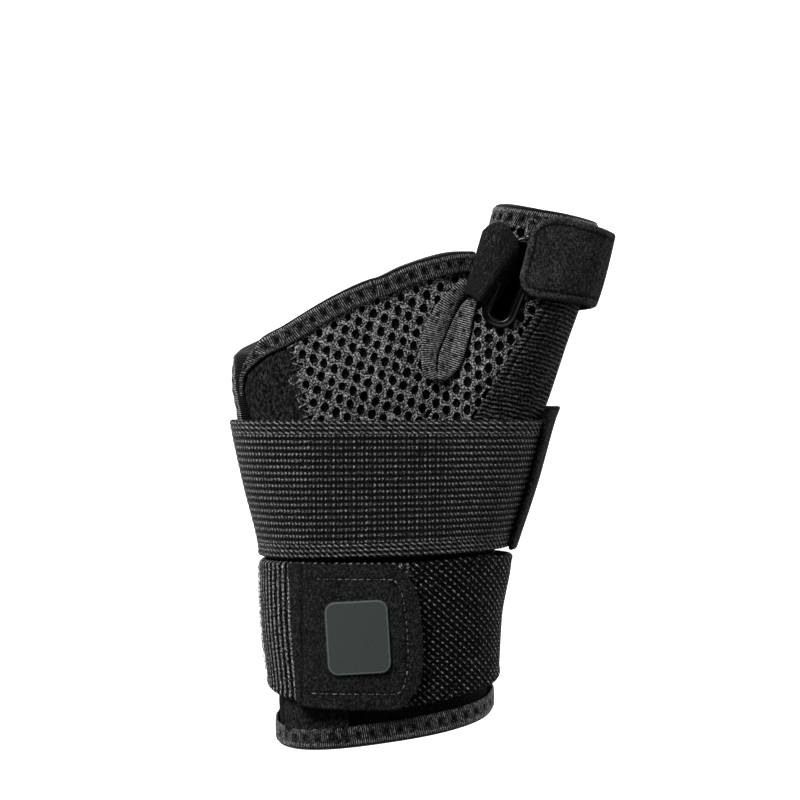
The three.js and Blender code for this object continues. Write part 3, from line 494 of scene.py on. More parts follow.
def tape_material():
    cloth = Cloth("satin_tape")
    u, v = cloth.mm()
    grain = cloth.noise(0.7, 2.0, 0.6)
    # Colour lighter on the ribs' crests and darker between them: painted highlight and painted shade of the
    # ribs. The tone brings the painted shade of the stitch dents and the folded edge
    rib = (u * 1.62 + grain * 0.4).wave()
    shade = rib * 0.75 + (grain - 0.5) * 1.6 + cloth.tone() * 0.7 + 0.1
    cloth.colour(shade, (0.1, 0.002), (0.42, 0.038), (0.67, 0.2), (0.97, 0.6))
    cloth.bump(rib + grain * 0.5, 0.5)
    return cloth.set(Roughness=0.55, Specular_IOR_Level=0.12)


def ribbed_material():
    cloth = Cloth("ribbed_knit")
    u, v = cloth.mm()
    grain = cloth.noise(0.5, 3.0, 0.65)
    slow = cloth.noise(2.6, 2.0, 0.5)
    rib = ((v + u * 0.18) / 1.15 + grain * 0.12 + slow * 0.9).wave()
    # Colour follows the ribs: painted highlight on their crests and painted shade in their grooves, with
    # grain. The tone brings the stay's painted groove shade and seam highlight
    cloth.colour(rib * 0.5 + (grain - 0.5) * 2.6 + cloth.tone() * 0.4 + 0.2,
                 (0.1, 0.002), (0.5, 0.017), (1.0, 0.22))
    cloth.bump(rib + grain * 0.8, 0.8)
    return cloth.set(Roughness=0.9, Specular_IOR_Level=0.03)


def elastic_material():
    cloth = Cloth("woven_elastic")
    u, v = cloth.mm()
    grain = cloth.noise(0.35, 3.0, 0.6)
    row = v / ELASTIC_ROW
    across = row.fract()
    left = u.below(-24.0, -17.0)
    right = u.below(12.0, 20.0).rest()
    chevron = (across - 0.5).math("ABSOLUTE") * 0.9
    slant = across * 0.75
    turn = chevron * left + slant * right
    crossing = (u / 1.1 + turn + grain * 0.12).wave()
    ridge = row.wave()
    middle = (left + right).rest()
    loops = ((u / 1.85 + grain * 0.1).wave().power(0.5) * 0.45 + 0.55) * middle + (left + right)
    yarn = ridge.power(0.6) * (crossing * 0.55 + 0.45) * loops
    inside = (v - HAND_STRAP_WIDTH / 2).math("ABSOLUTE").below(14.6, 15.4)
    braid = (u / 1.7 + v / 1.5).wave() * 0.55 + (v / ELASTIC_CORD).wave() * 0.45
    height = yarn * inside + braid * inside.rest()
    # Colour follows the height of yarn and braid: painted highlight on the crests and painted shade, near
    # black, in the grooves
    cloth.colour(height * 0.85 + (grain - 0.5) * 2.2 + cloth.tone() * 0.4 + 0.08,
                 (0.27, 0.0015), (0.51, 0.02), (0.74, 0.11), (1.0, 0.5))
    cloth.bump(height + grain * 0.25, 0.9)
    return cloth.set(Roughness=0.72, Specular_IOR_Level=0.07)


def knit_material():
    cloth = Cloth("strap_knit")
    u, v = cloth.mm()
    grain = cloth.noise(0.45, 3.0, 0.7)
    right = u.below(4.0, 10.0).rest()
    rib = (u / 1.85 + grain * 0.1).wave() * ((v / 1.3 + (u / 1.85).math("FLOOR") * 0.5).wave() * 0.3 + 0.7)
    dash = (u / 1.9 + v / 2.1 + grain * 0.15).wave().power(2.5) * ((v / 2.1 - u / 3.8).wave() * 0.75 + 0.25)
    height = rib * right.rest() + dash * right
    # Colour follows the stitches' height: painted highlight on the loops and painted shade in the grooves
    # between them
    cloth.colour(height * 0.75 + (grain - 0.5) * 3.0 + cloth.tone() * 0.5 + 0.1 - right * 0.03,
                 (0.15, 0.001), (0.47, 0.014), (0.68, 0.15), (0.95, 0.65))
    cloth.bump(height + grain * 0.5, 0.9)
    return cloth.set(Roughness=0.9, Specular_IOR_Level=0.04)


def felt_material(name, low, high):
    cloth = Cloth(name)
    fine = cloth.noise(0.5, 3.0, 0.8, (1, 1, 0.75))
    wide = cloth.noise(5.0, 2.0, 0.5)
    cloth.colour((fine - 0.5) * 3.6 + wide * 0.3 + cloth.tone() * 0.6 + 0.37,
                 (0.0, low * 0.12), (0.5, low * 1.35), (1.0, high * 2.2))
    cloth.bump(fine + wide * 0.3, 1.3)
    return cloth.set(Roughness=1.0, Specular_IOR_Level=0.02, Sheen_Weight=0.04, Sheen_Roughness=0.6)


def plastic_material():
    cloth = Cloth("moulded_plastic")
    cloth.bump(cloth.noise(2.5, 1.0), 0.03)
    return cloth.set(Base_Color=(0.001, 0.001, 0.001, 1), Roughness=0.24, Specular_IOR_Level=0.2)


def label_material():
    cloth = Cloth("label_cloth")
    grain = cloth.noise(0.3, 3.0, 0.7)
    cloth.colour(grain + cloth.tone() * 0.6, (0.3, (0.036, 0.05, 0.047)), (0.6, (0.046, 0.062, 0.058)),
                 (1.0, (0.16, 0.18, 0.175)))
    cloth.bump(grain, 0.12)
    return cloth.set(Roughness=0.65, Specular_IOR_Level=0.3)


LINER = plain_cloth("liner_cloth", 0.004, 0.009)
VELOUR = plain_cloth("loop_velour", 0.006, 0.024, 0.6, 1.0, 0.02, 0.4, (1, 1, 0.6))
NET, TAPE_CLOTH, RIBBED, ELASTIC, KNIT = (f() for f in (
    net_material, tape_material, ribbed_material, elastic_material, knit_material))
THUMB_FELT = felt_material("thumb_tab_felt", 0.02, 0.062)
WRIST_FELT = felt_material("wrist_tab_felt", 0.012, 0.04)
GREY_FELT = felt_material("grey_felt", 0.014, 0.055)
PLASTIC, LABEL = plastic_material(), label_material()
PALE_THREAD = plain_cloth("pale_thread", 0.06, 0.2, 0.6, 0.7)
FIBRE = plain_cloth("loose_fibre", 0.03, 0.11, 0.6, 0.8)


# Cloth body
def closed_loft(rings, name):
    """Closed mesh object from rings of points, capped at both ends."""
    rings = np.asarray(rings)
    levels, sides = rings.shape[:2]
    index = np.arange(levels * sides).reshape(levels, sides)
    turned = np.roll(index, -1, 1)
    quads = np.stack([index[:-1], turned[:-1], turned[1:], index[1:]], -1).reshape(-1, 4).tolist()
    verts = np.concatenate([rings.reshape(-1, 3), rings[0].mean(0)[None], rings[-1].mean(0)[None]])
    foot, head = levels * sides, levels * sides + 1
    quads += [[foot, int(b), int(a)] for a, b in zip(index[0], turned[0])]
    quads += [[head, int(a), int(b)] for a, b in zip(index[-1], turned[-1])]
    mesh = bpy.data.meshes.new(name)
    mesh.from_pydata((verts * 0.001).tolist(), [], quads)
    return placed(name, mesh)


def hand_solid(out, low, high, name, sides=120, levels=56):
    """Closed form of the hand between two heights that may vary with the turn."""
    beside_split = [turn + side for turn in SPLIT_TURNS for side in (-0.1, 0.1)]
    turns = np.sort(np.concatenate([np.arange(sides) * 360 / sides - 180, beside_split]))
    bottom, top = low(turns), high(turns)
    heights = [bottom + (top - bottom) * t for t in np.linspace(0, 1, levels)]
    rings = [hand(turns, z, out + (hem_fullness(z) if out > 0 else 0)) for z in heights]
    return closed_loft(rings, name)


def thumb_solid(out, low, high, name, sides=72, levels=36):
    """Closed form of the thumb, in the same way."""
    turns = np.arange(sides) * 360 / sides
    bottom, top = low(turns), high(turns)
    rings = [thumb(turns, bottom + (top - bottom) * t, out) for t in np.linspace(0, 1, levels)]
    return closed_loft(rings, name)


def cut(obj, other, operation):
    """Join an object with another or take the other away from it, and delete the other."""
    modifier = obj.modifiers.new("cut", "BOOLEAN")
    modifier.operation, modifier.solver, modifier.object = operation, "EXACT", other
    shaped = bpy.data.meshes.new_from_object(obj.evaluated_get(bpy.context.evaluated_depsgraph_get()))
    obj.modifiers.clear()
    old, obj.data = obj.data, shaped
    bpy.data.meshes.remove(old)
    bpy.data.objects.remove(other)


def level(height):
    """A flat end for a solid."""
    return lambda turns: np.full(np.shape(turns), float(height))


def body_top(turns):
    """Upper edge of the cloth body, with the split between the palm flap and the back panel."""
    split = (turns > SPLIT_TURNS[0]) & (turns < SPLIT_TURNS[1])
    return np.where(split, SPLIT_HEIGHT, body_edge(turns) - BINDING_INSET)


def slot_ring(radius, steps=16):
    """Outline of the oblong slot, at a distance from its middle line."""
    tilt = math.radians(SLOT_TILT)
    turns = np.linspace(math.pi - tilt, 2 * math.pi - tilt, steps)
    spread = radius * joined(np.cos(turns), np.sin(turns))
    foot = np.array(SLOT_FOOT)
    head = foot + SLOT_LENGTH * np.array([math.sin(tilt), math.cos(tilt)])
    return np.concatenate([foot + spread, head - spread])


def make_liner():
    """Hollow body of the splint, with its slot."""
    body = hand_solid(CLOTH, lambda turns: hem_height(turns) + BINDING_INSET, body_top, "liner")
    cut(body, thumb_solid(LINER_LANE, level(WEB_HEIGHT), level(175), "lane"), "DIFFERENCE")
    sleeve = thumb_solid(CLOTH, level(80), lambda turns: rim_height(turns) - BINDING_INSET, "sleeve")
    cut(body, sleeve, "UNION")
    cut(body, hand_solid(0, level(-6), level(149), "hollow", levels=64), "DIFFERENCE")
    cut(body, thumb_solid(0, level(76), level(157), "thumb_hollow"), "DIFFERENCE")
    ring = slot_ring(SLOT_RADIUS)
    walls = [joined(ring[:, 0], y, ring[:, 1]) for y in (-11.0, -60.0)]
    cut(body, closed_loft(walls, "slot"), "DIFFERENCE")
    mesh = body.data
    mesh.name = body.name = "liner_body"
    mesh.materials.clear()
    mesh.materials.append(LINER)
    mesh.shade_smooth()
    mesh.set_sharp_from_angle(angle=math.radians(35))
    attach(body, "root")
    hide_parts("liner_shell")
    return body


liner = make_liner()


# Bindings
def edge_frame(surface, turns, heights, side, closed=False):
    """Place at a depth into the cloth and a distance out, for each point of an edge."""
    if closed:
        pick = [np.roll(np.arange(len(turns)), k) for k in (1, -1)]
    else:
        pick = [np.clip(np.arange(len(turns)) + k, 0, len(turns) - 1) for k in (-1, 1)]
    arc = np.linalg.norm(surface(turns + 0.5, heights, 0) - surface(turns - 0.5, heights, 0), axis=-1)
    sweep = ((turns[pick[1]] - turns[pick[0]] + 540) % 360) - 180
    across, up = sweep * arc, heights[pick[1]] - heights[pick[0]]
    length = np.hypot(across, up)
    du, dz = (-side * up / length / arc)[:, None], (side * across / length)[:, None]
    return lambda depth, out: surface(turns[:, None] + du * depth, heights[:, None] + dz * depth, out)


# Profile of a folded tape: depth into the cloth, distance out
FOLD_FACE = [(depth, 4.32 - 0.03 * (depth - 3.0) ** 2) for depth in np.linspace(5.4, 0.9, 13)]
FOLD = np.array([
    (6.0, 3.45), (5.97, 3.75), (5.8, 4.0), *FOLD_FACE, (0.62, 3.95), (0.52, 3.78), (0.35, 3.82), (0.1, 3.6),
    (-0.12, 2.9), (-0.2, 1.4), (-0.1, -0.3), (0.4, -1.1), (1.5, -1.4), (4.0, -1.42), (5.6, -1.3),
    (6.0, -0.95), (6.0, -0.5), (3.5, -0.45), (1.3, -0.4), (1.05, 1.4), (1.3, 3.2), (3.5, 3.25), (6.0, 3.45),
])


def tape(name, node, surface, turns, heights, side, closed=False, narrowing=None):
    """Ribbed tape folded over an edge, dented by its zigzag stitches."""
    place = edge_frame(surface, turns, heights, side, closed)
    depth, out = FOLD[None, :, 0], FOLD[:, 1]
    line = place(np.array([[3.0]]), 4.2)[:, 0]
    u = run_along(line)
    if closed:
        whole = u[-1] + np.linalg.norm(line[0] - line[-1])
        pitch = whole / round(whole / STITCH / 2) / 2
    else:
        whole, pitch = u[-1], STITCH
    phase = u / pitch
    along = ((phase - np.round(phase)) * pitch)[:, None]
    face = (out > 3.6) & (depth[0] > 0.8)
    cross = np.minimum(np.abs(along - 0.8 * (depth - 3.4)), np.abs(along + 0.8 * (depth - 3.4)))
    close = np.exp(-((along / 0.9) ** 2) - ((depth - 3.4) / 0.95) ** 2)
    dent = 0.6 * bell(cross, 0, 0.3) * close + 0.3 * close
    dent = dent + 0.22 * bell(depth, 2.1, 0.25) + 0.1 * (depth > 2.1)
    ripple = 0.1 * np.sin(u * 1.7)[:, None] + 0.07 * np.sin(u * 0.61 + 1)[:, None]
    relief = np.where(face[None], ripple - dent, 0)
    share = np.ones((len(u), 1)) if narrowing is None else narrowing(u)[:, None]
    points = place(depth * (share + (1 - share) * (depth < 1.2)), out[None] + relief)
    v = run_along(FOLD)
    uv = joined(u[:, None], v[None])
    # Tone: painted shade in the stitch dents and along their line, and painted shade all over the tape off
    # its outer face, round the fold
    tone = np.where(face[None], -dent * 1.8, -1.0) + 0 * u[:, None]
    if closed:
        points, tone = np.concatenate([points, points[:1]]), np.concatenate([tone, tone[:1]])
        uv = np.concatenate([uv, joined(whole, v[None])])
    else:
        ends = [points[k].mean(0, keepdims=True)[None].repeat(points.shape[1], 1) for k in (0, -1)]
        points = np.concatenate([ends[0], points, ends[1]])
        uv, tone = np.concatenate([uv[:1], uv, uv[-1:]]), np.concatenate([tone[:1], tone, tone[-1:]])
    obj = build(name, [(points, uv, tone)], TAPE_CLOTH)
    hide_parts(node)
    return obj


def edge_points(table, pitch):
    """Evenly spaced turns and heights along an edge of the body."""
    rows = np.arange(len(table))
    fine = np.linspace(0, rows[-1], 900)
    turns, heights = smooth(rows, table[:, 0], fine), BODY_HEIGHT * smooth(rows, table[:, 1], fine)
    points = hand(turns, heights, TAPE_OUT)
    run = run_along(points)
    even = np.linspace(0, run[-1], int(run[-1] / pitch))
    return np.interp(even, run, turns), np.interp(even, run, heights)


def clear_of_thumb(turns, heights, gap=5.4):
    """The points of an edge that don't lie in the thumb sleeve's lane."""
    points = hand(turns, heights, TAPE_OUT)
    cx, cy, half_x, half_y = thumb_section(heights, gap)
    share = 2 / THUMB_ROUNDNESS
    inside = np.abs((points[:, 0] - cx) / half_x) ** share + np.abs((points[:, 1] - cy) / half_y) ** share < 1
    keep = ~(inside & (heights > WEB_HEIGHT - 6))
    return turns[keep], heights[keep]


def flap(turn, z, out):
    """Surface of the hand, with the little-finger corner of the palm flap standing away from it."""
    return hand(turn, z, out + 1.0 * step(-116, -150, turn) * step(88, 106, z) + hem_fullness(z))


palm_turns, palm_heights = clear_of_thumb(*edge_points(PALM_EDGE, 0.4))
tape("palm_edge_tape", "palm_edge_binding", flap, palm_turns, palm_heights, -1,
     narrowing=lambda run: 0.12 + 0.88 * step(2.0, 18.0, run))
back_turns, back_heights = clear_of_thumb(*edge_points(BACK_EDGE, 0.6))
tape("dorsal_edge_tape", "dorsal_edge_binding", hand, back_turns, back_heights, -1)
ring = np.linspace(90, 450, 480, endpoint=False)
tape("hem_tape", "hem_binding", hand, ring, hem_height(ring), 1, closed=True)
ring = np.linspace(90, 450, 230, endpoint=False)
tape("thumb_rim_tape", "thumb_rim_binding", thumb, ring, rim_height(ring), -1, closed=True)


# Net
def wobble(x, z):
    """Slight unevenness of the net."""
    dx = 0.14 * np.sin(0.43 * x + 0.27 * z) + 0.05 * np.sin(1.9 * z - 0.6 * x)
    dz = 0.14 * np.sin(0.41 * z - 0.32 * x + 1.0) + 0.05 * np.sin(1.7 * x + 0.9 * z)
    return x + dx, z + dz


# Rings from a cell's border to the inside of its hole: share of the way, distance out, tone. The tone is a
# painted highlight on the strands' crest and painted shade down into the hole
NET_RINGS = [
    (0.0, 2.62, 0.25), (0.3, 2.72, 0.4), (0.58, 2.82, 0.6), (0.83, 2.72, 0.45), (1.0, 2.45, -0.4),
    (1.05, 1.95, -1.6), (0.96, 1.68, -2.0),
]


def net(name, node, place, keep, shrink, span, anchor=(0, 0), lattice=((1, 0), (0, 1))):
    """Net of round holes on a staggered grid, its strands rounded. lattice turns and stretches the grid."""
    (xx, xz), (zx, zz) = lattice
    spread = xx * zz - xz * zx
    # Corners of the six-sided cell round a hole, which share their places with its neighbours
    corners = np.array([(0.8333, 2), (2.1667, 0), (0.8333, -2), (-0.8333, -2), (-2.1667, 0), (-0.8333, 2)])
    border = np.concatenate([np.linspace(a, b, 3, endpoint=False)
                             for a, b in zip(corners, np.roll(corners, -1, 0))])
    border = np.concatenate([border, border[:1]])
    angle = np.arctan2(border[:, 1] / 1.2, border[:, 0])
    parts = []
    (x0, x1), (z0, z1) = span
    wide, tall = NET_PITCH
    for i in range(int((x1 - x0) / wide)):
        for j in range(int((z1 - z0) / tall)):
            gx, gz = x0 + wide * i - anchor[0], z0 + tall * j + tall / 2 * (i % 2) - anchor[1]
            cx, cz = anchor[0] + xx * gx + xz * gz, anchor[1] + zx * gx + zz * gz
            if not keep(cx, cz):
                continue
            size = shrink(cx, cz) * (1 + 0.04 * rng.standard_normal())
            hx, hz = NET_HOLE[0] * np.cos(angle) * size, NET_HOLE[1] * np.sin(angle) * size
            hole = np.stack([(zz * hx - xz * hz) / spread, (xx * hz - zx * hx) / spread], -1)
            grid, outs, tones = [], [], []
            for share, out, tone in NET_RINGS:
                grid.append(border * (1 - min(share, 1)) + hole * min(share, 1) * (1 + max(share - 1, 0)))
                outs.append(np.full(len(border), out))
                # Painted highlight and shade of the rings, weaker round the smaller holes
                tones.append(np.full(len(border), tone * (0.6 + 0.4 * size)))
            across, up = np.array(grid).transpose(2, 0, 1)
            x, z = wobble(cx + xx * across + xz * up, cz + zx * across + zz * up)
            parts.append((place(x, z, np.array(outs)), joined(x, z), np.array(tones)))
    obj = build(name, parts, NET)
    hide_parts(node)
    return obj


def polyline_x(line, z):
    return np.interp(z, line[:, 1], line[:, 0])


def palm_edge_z(x):
    points = hand(palm_turns, palm_heights, TAPE_OUT)
    front_part = points[points[:, 0] > -38]
    return np.interp(x, front_part[:, 0], front_part[:, 2])


BORDER_UP = PATCH_BORDER[::-1]


def in_palm_net(x, z):
    """Whether a hole of the palm net may stand there."""
    left, right = polyline_x(BORDER_UP, z) - 1.2, polyline_x(FOLD_LINE, z) - 1.2
    return left < x < right and NET_FOOT < z < palm_edge_z(x) - 2.5


def palm_shrink(x, z):
    """Size of the palm net's holes, smaller under the tape and beside the velour."""
    to_tape = step(0.2, 3.4, palm_edge_z(x) - 7.1 - z)
    to_velour = step(0.5, 2.5, x - polyline_x(BORDER_UP, z))
    return float(0.72 + 0.28 * to_tape) * float(0.8 + 0.2 * to_velour)


palm_net = net("palm_net", "palm_mesh", hand_front, in_palm_net, palm_shrink, ((-45, 45), (66, 154)),
               anchor=(-24.07, 110.4), lattice=((1.183, 0.23), (0.147, 0.915)))


def in_thumb_net(x, z):
    """Whether a hole of the thumb net may stand there."""
    left = polyline_x(FOLD_LINE, z) - 0.6
    if z > 129:
        left = max(left, 31.5 + (z - 131) * 0.34)
    right = polyline_x(STAY_BORDER, z) + 0.9 + 6 * step(124, 132, z)
    tilt = math.radians(SLOT_TILT)
    dx, dz = x - SLOT_FOOT[0], z - SLOT_FOOT[1]
    along = min(max(dx * math.sin(tilt) + dz * math.cos(tilt), 0), SLOT_LENGTH)
    to_slot = math.hypot(dx - along * math.sin(tilt), dz - along * math.cos(tilt))
    off_ring = to_slot > EYELET_RADIUS - 0.4 or z > 142
    return left < x < right and NET_FOOT < z < 148.5 and off_ring


def over_slot(x, z, out):
    """Front of the splint, raised where the net passes over the upper end of the slot's ring."""
    return front(x, z, out + 1.6 * step(139, 142.5, z))


def thumb_shrink(x, z):
    return float(0.8 + 0.2 * step(0.3, 2.0, polyline_x(STAY_BORDER, z) - x))


thumb_net = net("thumb_net", "thumb_mesh", over_slot, in_thumb_net, thumb_shrink, ((14, 47), (82, 152)))


# Velour area and ribbons
def make_patch():
    """Grids of the velour, from the net's border round the little-finger side."""
    s, t = np.linspace(0, 1, 90)[:, None], np.linspace(0, 1, 240)[None]
    t = t + 0 * s
    bottom, top = 1.6 + 0 * t, 110 + 0 * t
    for _ in range(30):
        z = bottom + (top - bottom) * t
        border = front_turn(hand_section(z, 3.0), polyline_x(BORDER_UP, z), HAND_ROUNDNESS)
        turn = border * (1 - s) + VELOUR_SIDE_TURN * s
        top = np.minimum(body_edge(turn[:, -1:]) - 1.1, VELOUR_TOP) + 0 * t
        bottom = hem_height(turn[:, :1]) + 1.0 + 0 * t
    z = bottom + (top - bottom) * t
    run = np.radians(np.abs(turn - border)) * HAND_RADIUS
    left = np.radians(np.abs(turn - VELOUR_SIDE_TURN)) * HAND_RADIUS
    side = soft_edge(np.minimum(run, left + 0.02), 0.5)
    ends = soft_edge(np.minimum(z - bottom, top - z), 0.5)
    swell = 0.12 * np.sin(z * 0.35 + run * 0.2) + 0.08 * np.sin(z * 0.9 - run * 0.35)
    uv = np.stack([run, z], -1)
    return slab(lambda out: flap(turn, z, out), SKIN_IN, SKIN, side * ends, uv, swell)


patch = build("palm_velour", make_patch(), VELOUR)
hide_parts("palm_loop_patch")


def threads(name, runs, radius, material, sides=5):
    """Short threads, each along a run of points, with closed ends."""
    parts = []
    around = np.linspace(0, 2 * np.pi, sides + 1)
    for run in runs:
        run = np.asarray(run, float)
        along = np.gradient(run, axis=0)
        along /= np.linalg.norm(along, axis=1, keepdims=True) + 1e-9
        first = np.cross(along, (0.2, 1.0, 0.1))
        first /= np.linalg.norm(first, axis=1, keepdims=True) + 1e-9
        second = np.cross(along, first)
        size = radius * np.ones(len(run))
        size[[0, -1]] = 0.0
        rings = run[:, None] + size[:, None, None] * (
            first[:, None] * np.cos(around)[None, :, None] + second[:, None] * np.sin(around)[None, :, None])
        parts.append((rings, np.zeros((*rings.shape[:2], 2)), 0.2 * rng.standard_normal()))
    return build(name, parts, material)


def stitch(place, a, b, steps=6, lift=0.25):
    """Points of a straight stitch on a surface, sunk at both ends."""
    t = np.concatenate([[0, 0.04], np.linspace(0.12, 0.88, steps), [0.96, 1]])
    x, z = a[0] + (b[0] - a[0]) * t, a[1] + (b[1] - a[1]) * t
    arch = np.abs(np.sin(np.pi * t)) ** 0.5
    return place(x, z, SKIN_OUT - 0.2 + (lift + 0.3) * arch)


def border_stitches():
    """Loose zigzag of double threads between the velour and the palm net."""
    runs = []
    for z in np.arange(93.5, 119, 3.3):
        x = polyline_x(BORDER_UP, z)
        a, b, c = (x - 1.9, z), (x + 1.5, z + 1.5), (x - 1.5, z + 2.6)
        for p, q in ((a, b), (b, c)):
            for _ in range(2):
                j = rng.normal(0, 0.16, 4)
                runs.append(stitch(hand_front, (p[0] + j[0], p[1] + j[1]), (q[0] + j[2], q[1] + j[3])))
    return runs


threads("velour_border_stitches", border_stitches(), 0.13, PALE_THREAD)


def ribbon(name, node, left, right):
    """Ribbed tape between two curves, puffy across and flat at its border."""
    s, t = np.linspace(0, 1, 120), spaced(1, 0.05, 0.06, 3)
    a, b = curve(left, s), curve(right, s)
    plan = a[:, None] * (1 - t[None, :, None]) + b[:, None] * t[None, :, None]
    wide = np.linalg.norm(b - a, axis=1)[:, None]
    run = run_along((a + b) / 2)
    tall = run[-1]
    to_side = np.minimum(t, 1 - t)[None] * wide
    to_end = np.minimum(run, tall - run)[:, None] + 0 * to_side
    share = soft_edge(to_side, 0.7) * soft_edge(to_end, 0.5)
    number = np.round(run / STITCH)
    stitch_t = np.where(number % 2 > 0, 0.3, 0.68)[:, None]
    dent = 0.4 * bell(run, number * STITCH, 0.55)[:, None] * bell((t[None] - stitch_t) * wide, 0, 0.5)
    relief = RIBBON_PUFF * np.sin(np.pi * t)[None] - dent + 0.06 * np.sin(run * 1.5)[:, None]
    uv = joined(run[:, None], t[None] * wide)
    x, z = plan[..., 0], plan[..., 1]
    # -dent * 1.6 in the tone is painted shade in the stitch dents
    grids = slab(lambda out: front(x, z, out), TAPE_IN, TAPE, share, uv, relief, -dent * 1.6)
    obj = build(name, grids, TAPE_CLOTH)
    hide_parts(node)
    return obj


ribbon("palm_side_ribbon", "web_ribbon_palm",
       [(13.6, 104.3), (11.4, 105.1), (10.1, 108), (9.9, 111.9), (10.2, 115.9), (11.4, 119.9), (13.4, 124.4),
        (16.2, 128.1), (20.2, 132.1), (22.4, 133.6)],
       [(14.6, 104.3), (14.4, 106.5), (14.2, 109.1), (14.8, 112.5), (16.2, 115.9), (17.6, 119.3),
        (19.3, 123.3), (21, 126.7), (23.3, 129), (25, 130.4)])
ribbon("thumb_side_ribbon", "web_ribbon_thumb",
       [(14.3, 104.5), (14.7, 107), (14.7, 110), (15.3, 112.6), (16.6, 115.9), (18, 119.3), (19.7, 123),
        (21.6, 126.1), (23.3, 127.8), (24.6, 128.8)],
       [(16.4, 104.3), (18, 105.2), (19.9, 107.2), (21.3, 109.6), (22.5, 113.1), (23.6, 117), (24.4, 121),
        (25.3, 124.4), (25.9, 127.3), (26, 129)])


# Stay sleeve and eyelet
def make_stay():
    """Grids of the ribbed pocket, its ribs between a seam in front and one at the side."""
    z = np.concatenate([np.arange(STAY_FOOT, STAY_TOP, 0.32), [STAY_TOP]])
    left = polyline_x(STAY_BORDER, z) + 0.25
    first = front_turn(thumb_section(z, 3.4), left, THUMB_ROUNDNESS)
    s = np.concatenate([[0, 0.008, 0.02, 0.035], np.linspace(0.05, 1, 84)])
    turn = first[:, None] * (1 - s) + 24.0 * s
    z = z[:, None] + 0 * turn
    run = run_along(thumb(turn, z, 3.9).swapaxes(0, 1)).T
    in_ribs = (turn < -23) & (run > 1.3)
    uneven = 0.28 * np.sin(z * 0.9 + run * 0.8) + 0.2 * np.sin(z * 0.37 - run * 1.3)
    rib = 0.34 * wave(z + run * 0.17 + uneven, 1.4)
    rib = rib * step(2.2, 3.0, run) * step(-21, -25, turn)
    seam = 0.45 * bell(turn, -21, 2.2)
    groove = 0.5 * bell(run, 2.3, 0.25) + 0.35 * bell(turn, -17.5, 1.4)
    swell = 0.9 * bell(turn, -62, 26)
    # Tone: painted shade in the grooves and a painted highlight along the seam ridge at turn -21; darker
    # beyond turn -14
    tone = np.where(in_ribs, 0.0, 0.1) - groove * 0.8
    tone = tone + 0.9 * bell(turn, -21, 2.0) - 1.1 * step(-18, -14, turn)
    to_end = np.minimum(z - z[:1], z[-1:] - z)
    share = soft_edge(np.minimum(run, run[:, -1:] - run), 0.6) * soft_edge(to_end, 0.6)
    relief = rib + seam - groove + swell
    return slab(lambda out: thumb(turn, z, out), SKIN_IN, STAY_THICKNESS, share, joined(run, z), relief, tone)


stay = build("stay_pocket", make_stay(), RIBBED)
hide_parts("stay_sleeve")


# Section of the eyelet's ring: distance from the slot's middle line, height over the cloth
EYELET_PROFILE = np.array([
    (2.45, -1.6), (2.4, 0.4), (2.42, 1.7), (2.6, 2.3), (2.95, 2.62), (3.3, 2.74), (3.7, 2.72), (4.1, 2.55),
    (4.45, 2.25), (4.75, 1.85), (4.95, 1.4), (5.08, 0.9), (5.1, 0.1), (4.6, 0.0), (3.0, 0.0), (2.75, -1.5),
    (2.45, -1.6),
])


def make_eyelet():
    """Grid of the oblong ring round the slot."""
    tilt = math.radians(SLOT_TILT)
    turns = np.linspace(math.pi - tilt, 2 * math.pi - tilt, 26)
    side = np.linspace(0, 1, 16)[1:-1, None]
    foot = np.array(SLOT_FOOT)
    head = foot + np.array([math.sin(tilt), math.cos(tilt)]) * SLOT_LENGTH
    away = joined(np.cos(turns), np.sin(turns))
    centres = np.concatenate([foot + 0 * away, foot + (head - foot) * side, head + 0 * away,
                              head + (foot - head) * side, foot[None]])
    normals = np.concatenate([away, away[-1] + 0 * side, -away, away[0] + 0 * side, away[:1]])
    plan = centres[:, None] + normals[:, None] * EYELET_PROFILE[None, :, :1]
    points = thumb_front(plan[..., 0], plan[..., 1], SKIN_IN + EYELET_PROFILE[None, :, 1])
    return [(points, np.zeros((*points.shape[:2], 2)), 0.0)]


eyelet = build("slot_ring", make_eyelet(), PLASTIC)
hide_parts("slot_eyelet")


